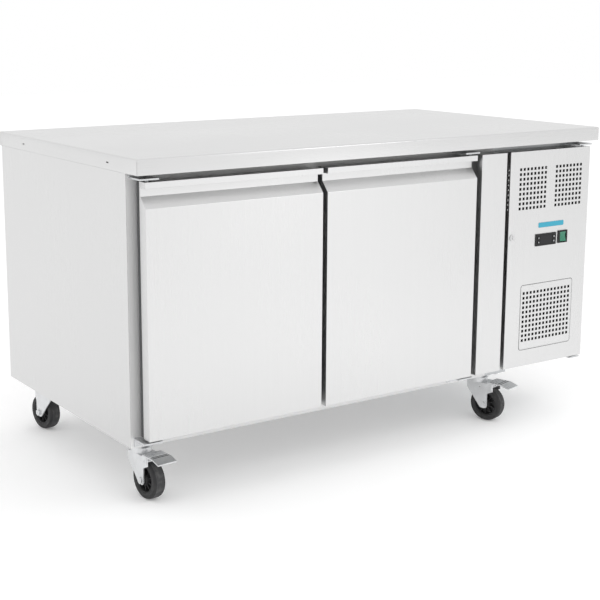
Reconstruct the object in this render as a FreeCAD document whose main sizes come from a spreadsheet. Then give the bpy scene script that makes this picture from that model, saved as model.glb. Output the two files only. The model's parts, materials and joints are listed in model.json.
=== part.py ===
"""Undercounter refrigerator on casters, two doors and a machine bay on the right.

Millimetres, +Z up, +X to the right seen from the front, the front faces -Y. The origin
is on the floor, under the middle of the object's box.
"""
import FreeCAD, Part
import os
import re

import Sketcher

SIZES = {
    # whole object
    "width": 1500, "depth": 820, "height": 850,
    # worktop
    "top_skirt": 38, "top_sheet": 1.5,
    # cabinet box
    "side_gap": 3, "right_gap": 28, "back_gap": 8, "door_zone": 65, "base_height": 145,
    "cold_length": 1144, "sheet": 1.2, "liner_sheet": 1, "wall": 55, "roof_wall": 46,
    "floor_wall": 59, "frame_thick": 18, "mullion_width": 60, "mullion_depth": 55,
    # doors and fronts
    "front_inset": 5, "front_bottom": 175, "front_top": 795, "door_edge": 22,
    "door_width": 501, "door_gap": 14, "door_thick": 50, "pan_depth": 30, "edge_inset": 2, "lip_height": 15,
    "grip_height": 20, "grip_slope": 27, "grip_depth": 24, "seal_inset": 16,
    "seal_width": 18, "seal_thick": 9.7, "frame_lap": 4, "plug_depth": 7,
    "strip_edge": 1055, "strip_width": 92, "panel_edge": 1161, "panel_width": 311.5,
    "panel_depth": 55,
    # hinges: the pins stand this far in from the door's edge and its front face
    "pin_inset": 14, "pin_back": 18, "pin_radius": 4, "pin_play": 0.05, "plate_thick": 4,
    "plate_width": 50, "plate_reach": 56, "pin_depth": 15, "screw_side": 15, "screw_rise": 12.2,
    "screw_head": 3.5, "screw_proud": 2.5, "arm_gap": 4,
    # machine panel
    "hole_side": 8, "hole_pitch": 13.8, "grille_margin": 40, "grille_gap": 180,
    "grille_top": 105, "low_left": 69, "low_top": 389, "flange_hole": 3,
    "display_middle": 146, "display_height": 539, "bezel_width": 80, "bezel_height": 35,
    "bezel_thick": 3, "bezel_body": 60, "glass_width": 46, "glass_height": 24,
    "button_width": 7, "button_height": 9, "button_play": 0.3, "button_side": 30,
    "button_step": 6.5, "button_proud": 1.2,
    "switch_middle": 213, "switch_side": 36, "rocker_width": 23, "rocker_height": 30,
    "rocker_pin": 3, "lock_inset": 15, "lock_height": 555, "lock_radius": 8,
    "cam_reach": 26,
    # machine bay
    "bay_bottom": 175, "tray_edge": 20, "rail_across": 80, "coil_width": 240, "coil_height": 270,
    "coil_thick": 44, "fin_pitch": 8, "fan_radius": 108, "fan_hub": 28, "shaft_radius": 4,
    "pot_radius": 82, "pot_height": 190, "pot_across": 150, "pot_back": 465,
    "pipe_radius": 4, "plate_long": 210, "plate_deep": 150, "foot_across": 88, "foot_deep": 58,
    "arm_reach": 13, "motor_radius": 36, "motor_long": 48, "drier_radius": 11, "drier_long": 90,
    # cold room
    "cooler_width": 84, "shelf_level": 480, "shelf_wire": 3, "shelf_depth": 590,
    "rail_width": 20, "rail_thick": 8, "blower_radius": 72, "blower_level": 610, "wire_radius": 1.8,
    "cooler_half": 200, "cooler_low": 250, "cooler_high": 190,
    # casters
    "wheel_radius": 50, "wheel_width": 34, "wheel_hub": 38, "axle_radius": 5,
    "trail": 34, "fork_gap": 42, "leg_thick": 3, "cup_radius": 27, "post_radius": 8,
    "mount_length": 95, "mount_width": 75, "bolt_across": 60, "bolt_along": 78,
    "bolt_head": 7.5, "bolt_high": 5, "nut_radius": 9, "brake_pin": 3, "pedal_width": 55,
}

CASTERS = {
    # name: distance from the worktop's left edge, from its front edge, turn, has a brake
    "front_left": (62, 126, 5, True),
    "front_right": (1180, 126, 16, True),
    "rear_left": (80, 700, 190, False),
    "rear_right": (1180, 700, 190, False),
}

doc = FreeCAD.newDocument("undercounter_refrigerator")
cells = doc.addObject("Spreadsheet::Sheet", "Sizes")
for row, (word, number) in enumerate(SIZES.items(), start=1):
    cells.set(f"A{row}", word)
    cells.set(f"B{row}", str(number))
    cells.setAlias(f"B{row}", word)
doc.recompute()

nodes = []


def bind(thing, prop, formula):
    """Bind a property to a formula written with the sheet's words."""
    thing.setExpression(prop, re.sub(r"[a-z_]+", lambda word: "Sizes." + word.group(), str(formula)))


def place(thing, corner, turn=None):
    """Put a piece at three formulas; turn is an axis and an angle in degrees."""
    if turn:
        axis, angle = turn
        rotation = FreeCAD.Rotation(FreeCAD.Vector(*axis), angle)
        thing.Placement = FreeCAD.Placement(FreeCAD.Vector(0, 0, 0), rotation)
    for letter, formula in zip("xyz", corner):
        bind(thing, f"Placement.Base.{letter}", formula)
    return thing


def node(thing):
    """Mark a finished piece as one that is written to a file of its own."""
    nodes.append(thing)
    return thing


def box(name, size, corner):
    block = doc.addObject("Part::Box", name)
    for side, formula in zip(("Length", "Width", "Height"), size):
        bind(block, side, formula)
    return place(block, corner)


ALONG = {"x": ((0, 1, 0), 90), "y": ((1, 0, 0), -90), "z": None}


def rod(name, radius, length, start, along="z"):
    """A round bar that runs from its start towards +X, +Y or +Z."""
    bar = doc.addObject("Part::Cylinder", name)
    bind(bar, "Radius", radius)
    bind(bar, "Height", length)
    return place(bar, start, ALONG[along])


def nut(name, radius, length, start, along="z"):
    """A six-sided bar, for bolt heads and nuts."""
    bar = doc.addObject("Part::Prism", name)
    bar.Polygon = 6
    bind(bar, "Circumradius", radius)
    bind(bar, "Height", length)
    return place(bar, start, ALONG[along])


def cut(name, base, tools):
    piece = doc.addObject("Part::Cut", name)
    piece.Base = base
    piece.Tool = tools[0] if len(tools) == 1 else fuse(name + "_removed", tools)
    return piece


def fuse(name, pieces):
    whole = doc.addObject("Part::MultiFuse", name)
    whole.Shapes = pieces
    return whole


def group(name, pieces):
    whole = doc.addObject("Part::Compound", name)
    whole.Links = pieces
    return whole


def body_named(name):
    return doc.addObject("PartDesign::Body", name)


def sketch_on(body, plane, name):
    drawing = body.newObject("Sketcher::SketchObject", name)
    drawing.AttachmentSupport = [(next(f for f in body.Origin.OriginFeatures if f.Role == plane), "")]
    drawing.MapMode = "FlatFace"
    return drawing


def outline(body, plane, name, corners):
    """A closed outline with every corner held by two dimensions that follow the sheet."""
    drawing = sketch_on(body, plane, name)
    count = len(corners)
    for index in range(count):
        start = FreeCAD.Vector(10 * index, index * index, 0)
        end = FreeCAD.Vector(10 * index + 10, (index + 1) ** 2, 0)
        drawing.addGeometry(Part.LineSegment(start, end), False)
    for index in range(count):
        drawing.addConstraint(Sketcher.Constraint("Coincident", index, 2, (index + 1) % count, 1))
    for index, (across, up) in enumerate(corners):
        for direction, formula in (("DistanceX", across), ("DistanceY", up)):
            number = drawing.addConstraint(Sketcher.Constraint(direction, -1, 1, index, 1, 1.0))
            bind(drawing, f"Constraints[{number}]", formula)
    return drawing


def disc_at(body, plane, name, radius, centre):
    """A circle held by its radius and its centre."""
    drawing = sketch_on(body, plane, name)
    drawing.addGeometry(Part.Circle(FreeCAD.Vector(10, 10, 0), FreeCAD.Vector(0, 0, 1), 5), False)
    bind(drawing, f"Constraints[{drawing.addConstraint(Sketcher.Constraint('Radius', 0, 5.0))}]", radius)
    for direction, formula in zip(("DistanceX", "DistanceY"), centre):
        number = drawing.addConstraint(Sketcher.Constraint(direction, -1, 1, 0, 3, 1.0))
        bind(drawing, f"Constraints[{number}]", formula)
    return drawing


def pad(body, drawing, length, midplane=True):
    feature = body.newObject("PartDesign::Pad", drawing.Name + "_pad")
    feature.Profile = drawing
    feature.Midplane = midplane
    bind(feature, "Length", length)
    drawing.Visibility = False
    body.Tip = feature
    return feature


def pocket(body, drawing, length=None):
    """Remove a profile to both sides of its plane, right through when no length is given."""
    feature = body.newObject("PartDesign::Pocket", drawing.Name + "_pocket")
    feature.Profile = drawing
    feature.Midplane = True
    if length is None:
        feature.Type = 1
    else:
        bind(feature, "Length", length)
    body.Tip = feature
    return feature


def rows_and_columns(body, feature, columns, rows, step):
    """Repeat a pocket over a grid to the right and down."""
    grid = body.newObject("PartDesign::MultiTransform", feature.Name + "_grid")
    grid.Originals = [feature]
    sketch = feature.Profile[0]
    lines = []
    for suffix, axis, count, back in (("columns", "H_Axis", columns, False), ("rows", "V_Axis", rows, True)):
        line = body.newObject("PartDesign::LinearPattern", f"{feature.Name}_{suffix}")
        line.Direction = (sketch, [axis])
        line.Reversed = back
        line.Occurrences = count
        bind(line, "Length", f"{count - 1}*{step}")
        lines.append(line)
    grid.Transformations = lines
    body.Tip = grid
    return grid


def rounded(body, radius, wanted):
    """Round the edges that the test picks on the body's last feature."""
    doc.recompute()
    base = body.Tip
    names = [f"Edge{i}" for i, edge in enumerate(base.Shape.Edges, start=1) if wanted(edge)]
    feature = body.newObject("PartDesign::Fillet", body.Name + "_rounding")
    feature.Base = (base, names)
    feature.Radius = radius
    body.Tip = feature
    return feature


# Places that many pieces share, as formulas of the sheet's words.
LEFT = "-width/2+side_gap"
COLD_RIGHT = "-width/2+side_gap+cold_length"
RIGHT = "width/2-right_gap"
FACE = "-depth/2+door_zone"
BACK = "depth/2-back_gap"
UNDER_TOP = "height-top_skirt"
FRONT = "-depth/2+front_inset"
PIN_Y = "-depth/2+front_inset+pin_back"
ROOM_LEFT = "-width/2+side_gap+wall+1"
ROOM_RIGHT = "-width/2+side_gap+cold_length-wall+4"
ROOM_FLOOR = "base_height+floor_wall"
ROOM_ROOF = "height-top_skirt-roof_wall"
ROOM_BACK = "depth/2-back_gap-wall+4"
DOOR_LEFT = {"left": "-width/2+door_edge", "right": "-width/2+door_edge+door_width+door_gap"}
PANEL_LEFT = "-width/2+panel_edge"


def hollow_tray(name, size, corner, skin, open_side):
    """A folded sheet box with one open side, such as front, back, top or bottom."""
    axis = {"front": 1, "back": 1, "top": 2, "bottom": 2, "right": 0}[open_side]
    low = open_side in ("front", "bottom")
    inner_size = [f"{s}-2*({skin})" for s in size]
    inner_corner = [f"{c}+{skin}" for c in corner]
    inner_size[axis] = f"{size[axis]}-{skin}+1"
    inner_corner[axis] = f"{corner[axis]}-1" if low else f"{corner[axis]}+{skin}"
    return cut(name, box(name + "_outside", size, corner), [box(name + "_inside", inner_size, inner_corner)])


# ---- worktop ----

def make_worktop():
    node(hollow_tray("worktop", ["width", "depth", "top_skirt"],
                     ["-width/2", "-depth/2", UNDER_TOP], "top_sheet", "bottom"))
    node(box("worktop_core", ["width-2*top_sheet", "depth-2*top_sheet", "top_skirt-top_sheet"],
             ["-width/2+top_sheet", "-depth/2+top_sheet", UNDER_TOP]))


# ---- cold cabinet ----

def make_cold_cabinet():
    outside = ["cold_length", "depth-back_gap-door_zone", "height-top_skirt-base_height"]
    corner = [LEFT, FACE, "base_height"]
    node(hollow_tray("outer_casing", outside, corner, "sheet", "front"))
    room = [f"({ROOM_RIGHT})-({ROOM_LEFT})", f"({ROOM_BACK})-({FACE})-frame_thick",
            f"({ROOM_ROOF})-({ROOM_FLOOR})"]
    room_corner = [ROOM_LEFT, f"{FACE}+frame_thick", ROOM_FLOOR]
    node(hollow_tray("inner_liner", room, room_corner, "liner_sheet", "front"))
    foam = box("foam_outside", ["cold_length-2*sheet", "depth-back_gap-door_zone-frame_thick-sheet",
                                "height-top_skirt-base_height-2*sheet"],
               [f"{LEFT}+sheet", f"{FACE}+frame_thick", "base_height+sheet"])
    room[1] += "+1"
    hole = box("foam_room", room, [ROOM_LEFT, f"{FACE}+frame_thick-1", ROOM_FLOOR])
    node(cut("insulation", foam, [hole]))
    make_front_frame()
    node(hollow_tray("filler_strip", ["strip_width", "door_zone-front_inset", "front_top-front_bottom"],
                     ["-width/2+strip_edge", FRONT, "front_bottom"], "sheet", "back"))


def make_front_frame():
    """The face that the door seals close on, with the post between the doors."""
    plate = box("frame_plate", ["cold_length-2*sheet", "frame_thick", "height-top_skirt-base_height-2*sheet"],
                [f"{LEFT}+sheet", FACE, "base_height+sheet"])
    lap = "(seal_inset+seal_width+frame_lap)"
    windows = []
    for side, left in DOOR_LEFT.items():
        size = [f"door_width-2*{lap}", "frame_thick+2", f"front_top-front_bottom-2*{lap}"]
        start = [f"{left}+{lap}", f"{FACE}-1", f"front_bottom+{lap}"]
        windows.append(box(f"frame_window_{side}", size, start))
    post_middle = f"{DOOR_LEFT['right']}-door_gap/2"
    post_high = f"({ROOM_ROOF})-({ROOM_FLOOR})-2*liner_sheet-2"
    post = box("frame_post", ["mullion_width", "mullion_depth", post_high],
               [f"{post_middle}-mullion_width/2", f"{FACE}+frame_thick-0.5", f"{ROOM_FLOOR}+liner_sheet+1"])
    node(fuse("front_frame", [cut("frame_ring", plate, windows), post]))


# ---- doors ----

def door_corners(skin, back):
    """Side outline of a door's front pan: skin is 0 outside and the sheet's thickness inside."""
    front = f"{FRONT}+{skin}"
    wall = f"{FRONT}+grip_depth+{skin}"
    lip = "front_top-lip_height"
    return [(front, f"front_bottom+{skin}"), (front, f"{lip}-grip_height-grip_slope-{skin}/3"),
            (wall, f"{lip}-grip_height-{skin}/3"), (wall, f"{lip}+{skin}"), (front, f"{lip}+{skin}"),
            (front, f"front_top-{skin}"), (back, f"front_top-{skin}"), (back, f"front_bottom+{skin}")]


def pin_holes(name, pin_x, radius):
    """Tools for the hinge pins' holes at the top and the bottom of a door or panel."""
    return [rod(f"{name}_hole_low", radius, "pin_depth+2", [pin_x, PIN_Y, "front_bottom-1"]),
            rod(f"{name}_hole_high", radius, "lip_height+2", [pin_x, PIN_Y, "front_top-lip_height-1"])]


def ring(name, left, outer, inner, front, thick):
    """A rectangular frame on a door's back; outer and inner are insets from the door's edges."""
    outside = box(f"{name}_outside", [f"door_width-2*{outer}", thick, f"front_top-front_bottom-2*{outer}"],
                  [f"{left}+{outer}", front, f"front_bottom+{outer}"])
    hole = box(f"{name}_inside", [f"door_width-2*{inner}", f"{thick}+2", f"front_top-front_bottom-2*{inner}"],
               [f"{left}+{inner}", f"{front}-1", f"front_bottom+{inner}"])
    return cut(name, outside, [hole])


def make_door(side):
    """A pressed front pan, its filling, an inner liner, and the edge profile with its magnetic seal."""
    name = f"door_{side}"
    left = DOOR_LEFT[side]
    middle = f"{left}+door_width/2"
    pin_x = f"{left}+pin_inset" if side == "left" else f"{left}+door_width-pin_inset"
    running = "pin_radius+pin_play"
    pan_back, back = f"{FRONT}+pan_depth", f"{FRONT}+door_thick"
    skin = body_named(f"{name}_sheet")
    pad(skin, outline(skin, "YZ_Plane", f"{name}_outside", door_corners("0", pan_back)), "door_width")
    inside = outline(skin, "YZ_Plane", f"{name}_inside", door_corners("sheet", f"{pan_back}+1"))
    pocket(skin, inside, "door_width-2*sheet")
    place(skin, [middle, "0", "0"])
    node(cut(f"{name}_skin", skin, pin_holes(f"{name}_skin", pin_x, running)))
    core = body_named(f"{name}_filling")
    pad(core, outline(core, "YZ_Plane", f"{name}_filling_outline", door_corners("sheet", pan_back)),
        "door_width-2*sheet")
    place(core, [middle, "0", "0"])
    rear = box(f"{name}_filling_rear", ["door_width-2*seal_inset", "door_thick-pan_depth-liner_sheet+0.2",
                                        "front_top-front_bottom-2*seal_inset"],
               [f"{left}+seal_inset", f"{pan_back}-0.2", "front_bottom+seal_inset"])
    filled = fuse(f"{name}_filled", [core, rear])
    node(cut(f"{name}_foam", filled, pin_holes(f"{name}_foam", pin_x, f"{running}+1")))
    plate_high = "front_top-front_bottom-2*seal_inset"
    plate = box(f"{name}_plate", ["door_width-2*seal_inset", "liner_sheet", plate_high],
                [f"{left}+seal_inset", f"{back}-liner_sheet", "front_bottom+seal_inset"])
    lap = "(seal_inset+seal_width+frame_lap)"
    plug = box(f"{name}_plug", [f"door_width-2*{lap}", "plug_depth+0.2", f"front_top-front_bottom-2*{lap}"],
               [f"{left}+{lap}", f"{back}-0.2", f"front_bottom+{lap}"])
    node(fuse(f"{name}_liner", [plate, plug]))
    profile = ring(f"{name}_edge_profile", left, "edge_inset", "seal_inset", pan_back, "door_thick-pan_depth")
    seal = ring(f"{name}_seal", left, "seal_inset", "(seal_inset+seal_width)", back, "seal_thick")
    node(group(f"{name}_gasket", [profile, seal]))


def hinge_plate(name, pin_x, top):
    """An angle bracket with the pin that a door or the machine panel turns on."""
    level = "front_top+arm_gap" if top else "front_bottom-arm_gap-plate_thick"
    left = f"{pin_x}-plate_width/2"
    plate = box(f"{name}_arm", ["plate_width", "plate_reach", "plate_thick"],
                [left, f"{FACE}-plate_reach", level])
    flange_low = level if top else "base_height+5"
    flange_high = f"{UNDER_TOP}-1" if top else f"{level}+plate_thick"
    flange = box(f"{name}_flange", ["plate_width", "plate_thick", f"({flange_high})-({flange_low})"],
                 [left, f"{FACE}-plate_thick", flange_low])
    pin_low = "front_top-lip_height+1" if top else f"{level}+1"
    length = "lip_height+4" if top else "plate_thick+3+pin_depth"
    pin = rod(f"{name}_pin", "pin_radius", length, [pin_x, PIN_Y, pin_low])
    return plate, flange, pin


def screw_pair(name, pin_x, level):
    """Two screw heads on a hinge bracket's flange."""
    return [rod(f"{name}_screw{shift[0]}".replace("-", "a").replace("+", "b"), "screw_head", "screw_proud",
                [f"{pin_x}{shift}", f"{FACE}-plate_thick-screw_proud", level], "y")
            for shift in ("-screw_side", "+screw_side")]


def make_hinges():
    """Top and bottom brackets of both doors and of the machine panel; returns their screws."""
    screws = []
    for side in ("left", "right"):
        left = DOOR_LEFT[side]
        pin_x = f"{left}+pin_inset" if side == "left" else f"{left}+door_width-pin_inset"
        pair = []
        for end, top in (("low", False), ("high", True)):
            name = f"door_{side}_hinge_{end}"
            pair.append(fuse(name, list(hinge_plate(name, pin_x, top))))
            level = "front_top+screw_rise" if top else "base_height+screw_side"
            screws += screw_pair(name, pin_x, level)
        node(group(f"door_{side}_hinges", pair))
    pin_x = f"{PANEL_LEFT}+panel_width-pin_inset"
    high = fuse("panel_hinge_high", list(hinge_plate("panel_hinge_high", pin_x, True)))
    screws += screw_pair("panel_hinge", pin_x, "front_top+screw_rise")
    level = "front_bottom-arm_gap-plate_thick"
    arm = box("panel_hinge_low_arm", ["plate_width-12", "plate_reach+40", "plate_thick"],
              [f"{pin_x}-plate_width/2", f"{FACE}-plate_reach", level])
    step = box("panel_hinge_low_step", ["plate_width-12", "40", "4.2"],
               [f"{pin_x}-plate_width/2", FACE, f"{level}+plate_thick-0.2"])
    pin = rod("panel_hinge_low_pin", "pin_radius", "plate_thick+3+pin_depth", [pin_x, PIN_Y, f"{level}+1"])
    node(group("panel_hinges", [high, fuse("panel_hinge_low", [arm, step, pin])]))
    return screws


# ---- machine panel, controller, switch and lock ----

def grille(body, name, left, top, columns, rows):
    """A block of square holes; left and top are the first hole's middle."""
    low, high = f"{top}-hole_side/2", f"{top}+hole_side/2"
    near, far = f"{left}-hole_side/2", f"{left}+hole_side/2"
    first = outline(body, "XZ_Plane", name, [(near, low), (far, low), (far, high), (near, high)])
    rows_and_columns(body, pocket(body, first), columns, rows, "hole_pitch")


def opening(body, name, middle, level, across, high):
    """A rectangular cut-out through the panel's front sheet."""
    left, right = f"{middle}-({across})/2", f"{middle}+({across})/2"
    low, top = f"{level}-({high})/2", f"{level}+({high})/2"
    pocket(body, outline(body, "XZ_Plane", name, [(left, low), (right, low), (right, top), (left, top)]))


def make_machine_panel():
    right = f"{PANEL_LEFT}+panel_width"
    face = body_named("panel_face")
    edge = [(PANEL_LEFT, "front_bottom"), (right, "front_bottom"), (right, "front_top"),
            (PANEL_LEFT, "front_top")]
    pad(face, outline(face, "XZ_Plane", "panel_edge_line", edge), "sheet")
    first_row = "height-grille_top"
    grille(face, "left_vent", f"{PANEL_LEFT}+grille_margin", first_row, 8, 9)
    grille(face, "right_vent", f"{PANEL_LEFT}+grille_gap", first_row, 8, 9)
    grille(face, "low_vent", f"{PANEL_LEFT}+low_left", "low_top", 14, 11)
    controller_x = f"{PANEL_LEFT}+display_middle"
    opening(face, "controller_opening", controller_x, "display_height", "bezel_width-9", "bezel_height-6")
    switch_x = f"{PANEL_LEFT}+switch_middle"
    opening(face, "switch_opening", switch_x, "display_height+2", "switch_side-8", "switch_side-4")
    pocket(face, disc_at(face, "XZ_Plane", "lock_opening", "lock_radius+pin_play",
                         (f"{PANEL_LEFT}+lock_inset", "lock_height")))
    place(face, ["0", f"{FRONT}+sheet/2", "0"])
    size = ["panel_width", "panel_depth-sheet+0.2", "front_top-front_bottom"]
    ring = box("panel_rim_outside", size, [PANEL_LEFT, f"{FRONT}+sheet-0.2", "front_bottom"])
    hole = box("panel_rim_inside", ["panel_width-2*sheet", "panel_depth+2", "front_top-front_bottom-2*sheet"],
               [f"{PANEL_LEFT}+sheet", f"{FRONT}", "front_bottom+sheet"])
    pin_x = f"{right}-pin_inset"
    tools = pin_holes("panel", pin_x, "pin_radius+pin_play")
    for number in range(9):
        spot = [f"{PANEL_LEFT}-1", f"{FRONT}+panel_depth/2", f"{first_row}-{number}*hole_pitch"]
        tools.append(rod(f"rim_vent{number}", "flange_hole", "4", spot, "x"))
    tools.append(box("cam_slot", ["4", "7", "cam_reach+13"],
                     [f"{PANEL_LEFT}-1", f"{FRONT}+16", "lock_height-cam_reach-4"]))
    whole = fuse("panel_folded", [face, cut("panel_rim", ring, [hole])])
    node(cut("machine_panel", whole, tools))


def make_controller():
    middle = f"{PANEL_LEFT}+display_middle"
    left, low = f"{middle}-bezel_width/2", "display_height-bezel_height/2"
    bezel = box("controller_bezel", ["bezel_width", "bezel_thick", "bezel_height"],
                [left, f"{FRONT}-bezel_thick", low])
    case = box("controller_case", ["bezel_width-9.6", "bezel_body", "bezel_height-6.6"],
               [f"{left}+4.8", f"{FRONT}-0.2", f"{low}+3.3"])
    window = box("controller_window", ["glass_width", "2", "glass_height"],
                 [f"{middle}-glass_width/2", f"{FRONT}-bezel_thick-1", "display_height-glass_height/2"])
    wells = [window]
    for name, side, step in (("up", "-", "+"), ("down", "-", "-"), ("set", "+", "+"), ("standby", "+", "-")):
        x, z = f"{middle}{side}button_side", f"display_height{step}button_step"
        well = ["button_width+2*button_play", "bezel_thick+2", "button_height+2*button_play"]
        wells.append(box(f"well_{name}", well,
                         [f"{x}-button_width/2-button_play", f"{FRONT}-bezel_thick-1",
                          f"{z}-button_height/2-button_play"]))
        node(box(f"button_{name}", ["button_width", "bezel_thick-0.6+button_proud", "button_height"],
                 [f"{x}-button_width/2", f"{FRONT}-bezel_thick-button_proud", f"{z}-button_height/2"]))
    node(cut("controller_housing", fuse("controller_block", [bezel, case]), wells))
    node(box("controller_display", ["glass_width", "0.9", "glass_height"],
             [f"{middle}-glass_width/2", f"{FRONT}-bezel_thick+0.1", "display_height-glass_height/2"]))


def make_switch():
    """Rocker switch: a square bezel, and a rocker that turns on a cross pin inside it."""
    middle, level = f"{PANEL_LEFT}+switch_middle", "(display_height+2)"
    bezel = box("switch_front", ["switch_side", "bezel_thick", "switch_side"],
                [f"{middle}-switch_side/2", f"{FRONT}-bezel_thick", f"{level}-switch_side/2"])
    case = box("switch_case", ["switch_side-8.6", "30", "switch_side-4.6"],
               [f"{middle}-(switch_side-8.6)/2", f"{FRONT}-0.2", f"{level}-(switch_side-4.6)/2"])
    well = box("switch_well", ["rocker_width+0.8", "16", "rocker_height+1.4"],
               [f"{middle}-rocker_width/2-0.4", f"{FRONT}-bezel_thick-1", f"{level}-rocker_height/2-0.7"])
    seat = rod("rocker_seat", "rocker_pin+pin_play", "rocker_width+3",
               [f"{middle}-rocker_width/2-1.5", FRONT, level], "x")
    node(cut("switch_bezel", fuse("switch_block", [bezel, case]), [well, seat]))
    rocker = body_named("rocker_block")
    half = "rocker_height/2"
    side = [("-bezel_thick-1.7", f"-{half}+1.5"), ("-bezel_thick+1.4", "0"),
            ("-bezel_thick-0.1", f"{half}-1"), ("5", f"{half}-5"), ("5", f"-{half}+5")]
    pad(rocker, outline(rocker, "YZ_Plane", "rocker_side", side), "rocker_width")
    place(rocker, [middle, FRONT, level])
    pivot = rod("rocker_pivot", "rocker_pin", "rocker_width+2.8",
                [f"{middle}-rocker_width/2-1.4", FRONT, level], "x")
    node(fuse("power_rocker", [rocker, pivot]))


def make_lock():
    """Quarter-turn lock barrel with its cam on the back of the panel."""
    x = f"{PANEL_LEFT}+lock_inset"
    head = rod("lock_head", "lock_radius+1.5", "2", [x, f"{FRONT}-2.3", "lock_height"], "y")
    slot = box("lock_slot", ["2.4", "2", "9"], [f"{x}-1.2", f"{FRONT}-3.3", "lock_height-4.5"])
    barrel = rod("lock_shank", "lock_radius", "20", [x, f"{FRONT}-1", "lock_height"], "y")
    cam = box("lock_cam", ["10", "3", "cam_reach"], [f"{x}-5", f"{FRONT}+18", "lock_height-cam_reach"])
    node(fuse("lock_barrel", [cut("lock_keyed_head", head, [slot]), barrel, cam]))


# ---- machine bay ----

def slotted_cover(name, plane, width, low, high, slot, columns, rows, step, sheet_at):
    """A flat cover with rows of air slots; the outline's middle is the body's own origin."""
    cover = body_named(f"{name}_sheet")
    half = f"({width})/2"
    edge = [(f"-{half}", low), (half, low), (half, high), (f"-{half}", high)]
    pad(cover, outline(cover, plane, f"{name}_edge", edge), "sheet")
    left, top = f"-{half}+60", f"{high}-90"
    corners = [(left, f"{top}-6"), (f"{left}+{slot}", f"{top}-6"), (f"{left}+{slot}", top), (left, top)]
    first = pocket(cover, outline(cover, plane, f"{name}_slot", corners))
    rows_and_columns(cover, first, columns, rows, step)
    place(cover, sheet_at)
    return cover


def make_bay_covers():
    bay = f"({RIGHT})-({COLD_RIGHT})"
    deep = f"({BACK})-({FACE})"
    tray = hollow_tray("bay_tray", [bay, deep, "tray_edge"], [COLD_RIGHT, FACE, "bay_bottom"], "sheet", "top")
    rail = hollow_tray("caster_rail", ["rail_across", deep, "bay_bottom-base_height+0.5"],
                       [COLD_RIGHT, FACE, "base_height"], "2*sheet", "top")
    node(fuse("machine_base", [tray, rail]))
    side = slotted_cover("side_cover", "YZ_Plane", deep, "bay_bottom+tray_edge+1", f"{UNDER_TOP}-1", "20",
                         22, 6, "28", [f"{RIGHT}-sheet/2", f"({BACK})/2+({FACE})/2", "0"])
    flange = box("side_cover_flange", ["15", "sheet", f"({UNDER_TOP})-bay_bottom-tray_edge-2"],
                 [f"{RIGHT}-15", FACE, "bay_bottom+tray_edge+1"])
    node(fuse("side_cover", [side, flange]))
    rear = slotted_cover("rear_cover", "XZ_Plane", f"{bay}-2*sheet-2", "bay_bottom+tray_edge+1",
                         f"{UNDER_TOP}-1", "16", 9, 14, "24",
                         [f"({RIGHT})/2+({COLD_RIGHT})/2", f"{BACK}-sheet/2", "0"])
    inlet_hole = box("inlet_hole", ["30.4", "6", "22.4"], [f"{RIGHT}-75.2", f"{BACK}-3", "bay_bottom+48.8"])
    node(cut("rear_cover", rear, [inlet_hole]))
    rail = hollow_tray("bay_top_rail", [f"{bay}-17", "18", "20"],
                       [f"{COLD_RIGHT}+1", FACE, f"{UNDER_TOP}-21"], "sheet", "bottom")
    node(rail)


BLADE = (52, 2)
COIL_MIDDLE = "(width/2-right_gap)/2+(-width/2+side_gap+cold_length)/2"
FAN_LEVEL = "bay_bottom+sheet+5+coil_height/2"


def make_condenser():
    """Finned coil behind the low grille, with its fan blowing to the back."""
    front = f"{FACE}+10"
    core = body_named("condenser_core")
    half = "coil_width/2"
    edge = [(f"-{half}", "0"), (half, "0"), (half, "coil_thick"), (f"-{half}", "coil_thick")]
    pad(core, outline(core, "XY_Plane", "condenser_edge", edge), "coil_height")
    start = f"-{half}+fin_pitch/2"
    groove = [(start, "-1"), (f"{start}+fin_pitch/2", "-1"), (f"{start}+fin_pitch/2", "coil_thick-4"),
              (start, "coil_thick-4")]
    first = pocket(core, outline(core, "XY_Plane", "fin_gap", groove), "coil_height-16")
    row = core.newObject("PartDesign::LinearPattern", "fin_gaps")
    row.Originals = [first]
    row.Direction = (first.Profile[0], ["H_Axis"])
    row.Occurrences = 29
    bind(row, "Length", "28*fin_pitch")
    core.Tip = row
    place(core, [COIL_MIDDLE, front, FAN_LEVEL])
    core.Label = "condenser"
    node(core)
    shroud_y = f"{front}+coil_thick+1"
    plate = box("shroud_plate", ["coil_width+20", "1.5", "coil_height+10"],
                [f"{COIL_MIDDLE}-coil_width/2-10", shroud_y, f"{FAN_LEVEL}-coil_height/2-5"])
    ring = rod("shroud_ring", "fan_radius+8", "34", [COIL_MIDDLE, shroud_y, FAN_LEVEL], "y")
    throat = rod("shroud_throat", "fan_radius+6", "40", [COIL_MIDDLE, f"{shroud_y}-2", FAN_LEVEL], "y")
    node(cut("condenser_fan_shroud", fuse("shroud_block", [plate, ring]), [throat]))
    motor_y = f"{shroud_y}+44"
    motor = rod("motor_can", "motor_radius", "motor_long", [COIL_MIDDLE, motor_y, FAN_LEVEL], "y")
    shaft = rod("motor_shaft", "shaft_radius", "44", [COIL_MIDDLE, f"{motor_y}-43", FAN_LEVEL], "y")
    arms = [box("motor_arm_up", ["14", "3", "2*(fan_radius+arm_reach)"],
                [f"{COIL_MIDDLE}-7", f"{motor_y}+4", f"{FAN_LEVEL}-fan_radius-arm_reach"])]
    for end, sign in (("low", "-"), ("high", "+")):
        arms.append(box(f"motor_foot_{end}", ["14", "14.5", "3"],
                        [f"{COIL_MIDDLE}-7", f"{motor_y}-10", f"{FAN_LEVEL}{sign}(fan_radius+9.6)-1.5"]))
    node(fuse("condenser_fan_motor", [motor, shaft] + arms))
    rotor_place = [COIL_MIDDLE, f"{shroud_y}+8", FAN_LEVEL]
    node(make_rotor("condenser_fan_rotor", "y", rotor_place, "fan_radius", "fan_hub", 26))


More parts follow.
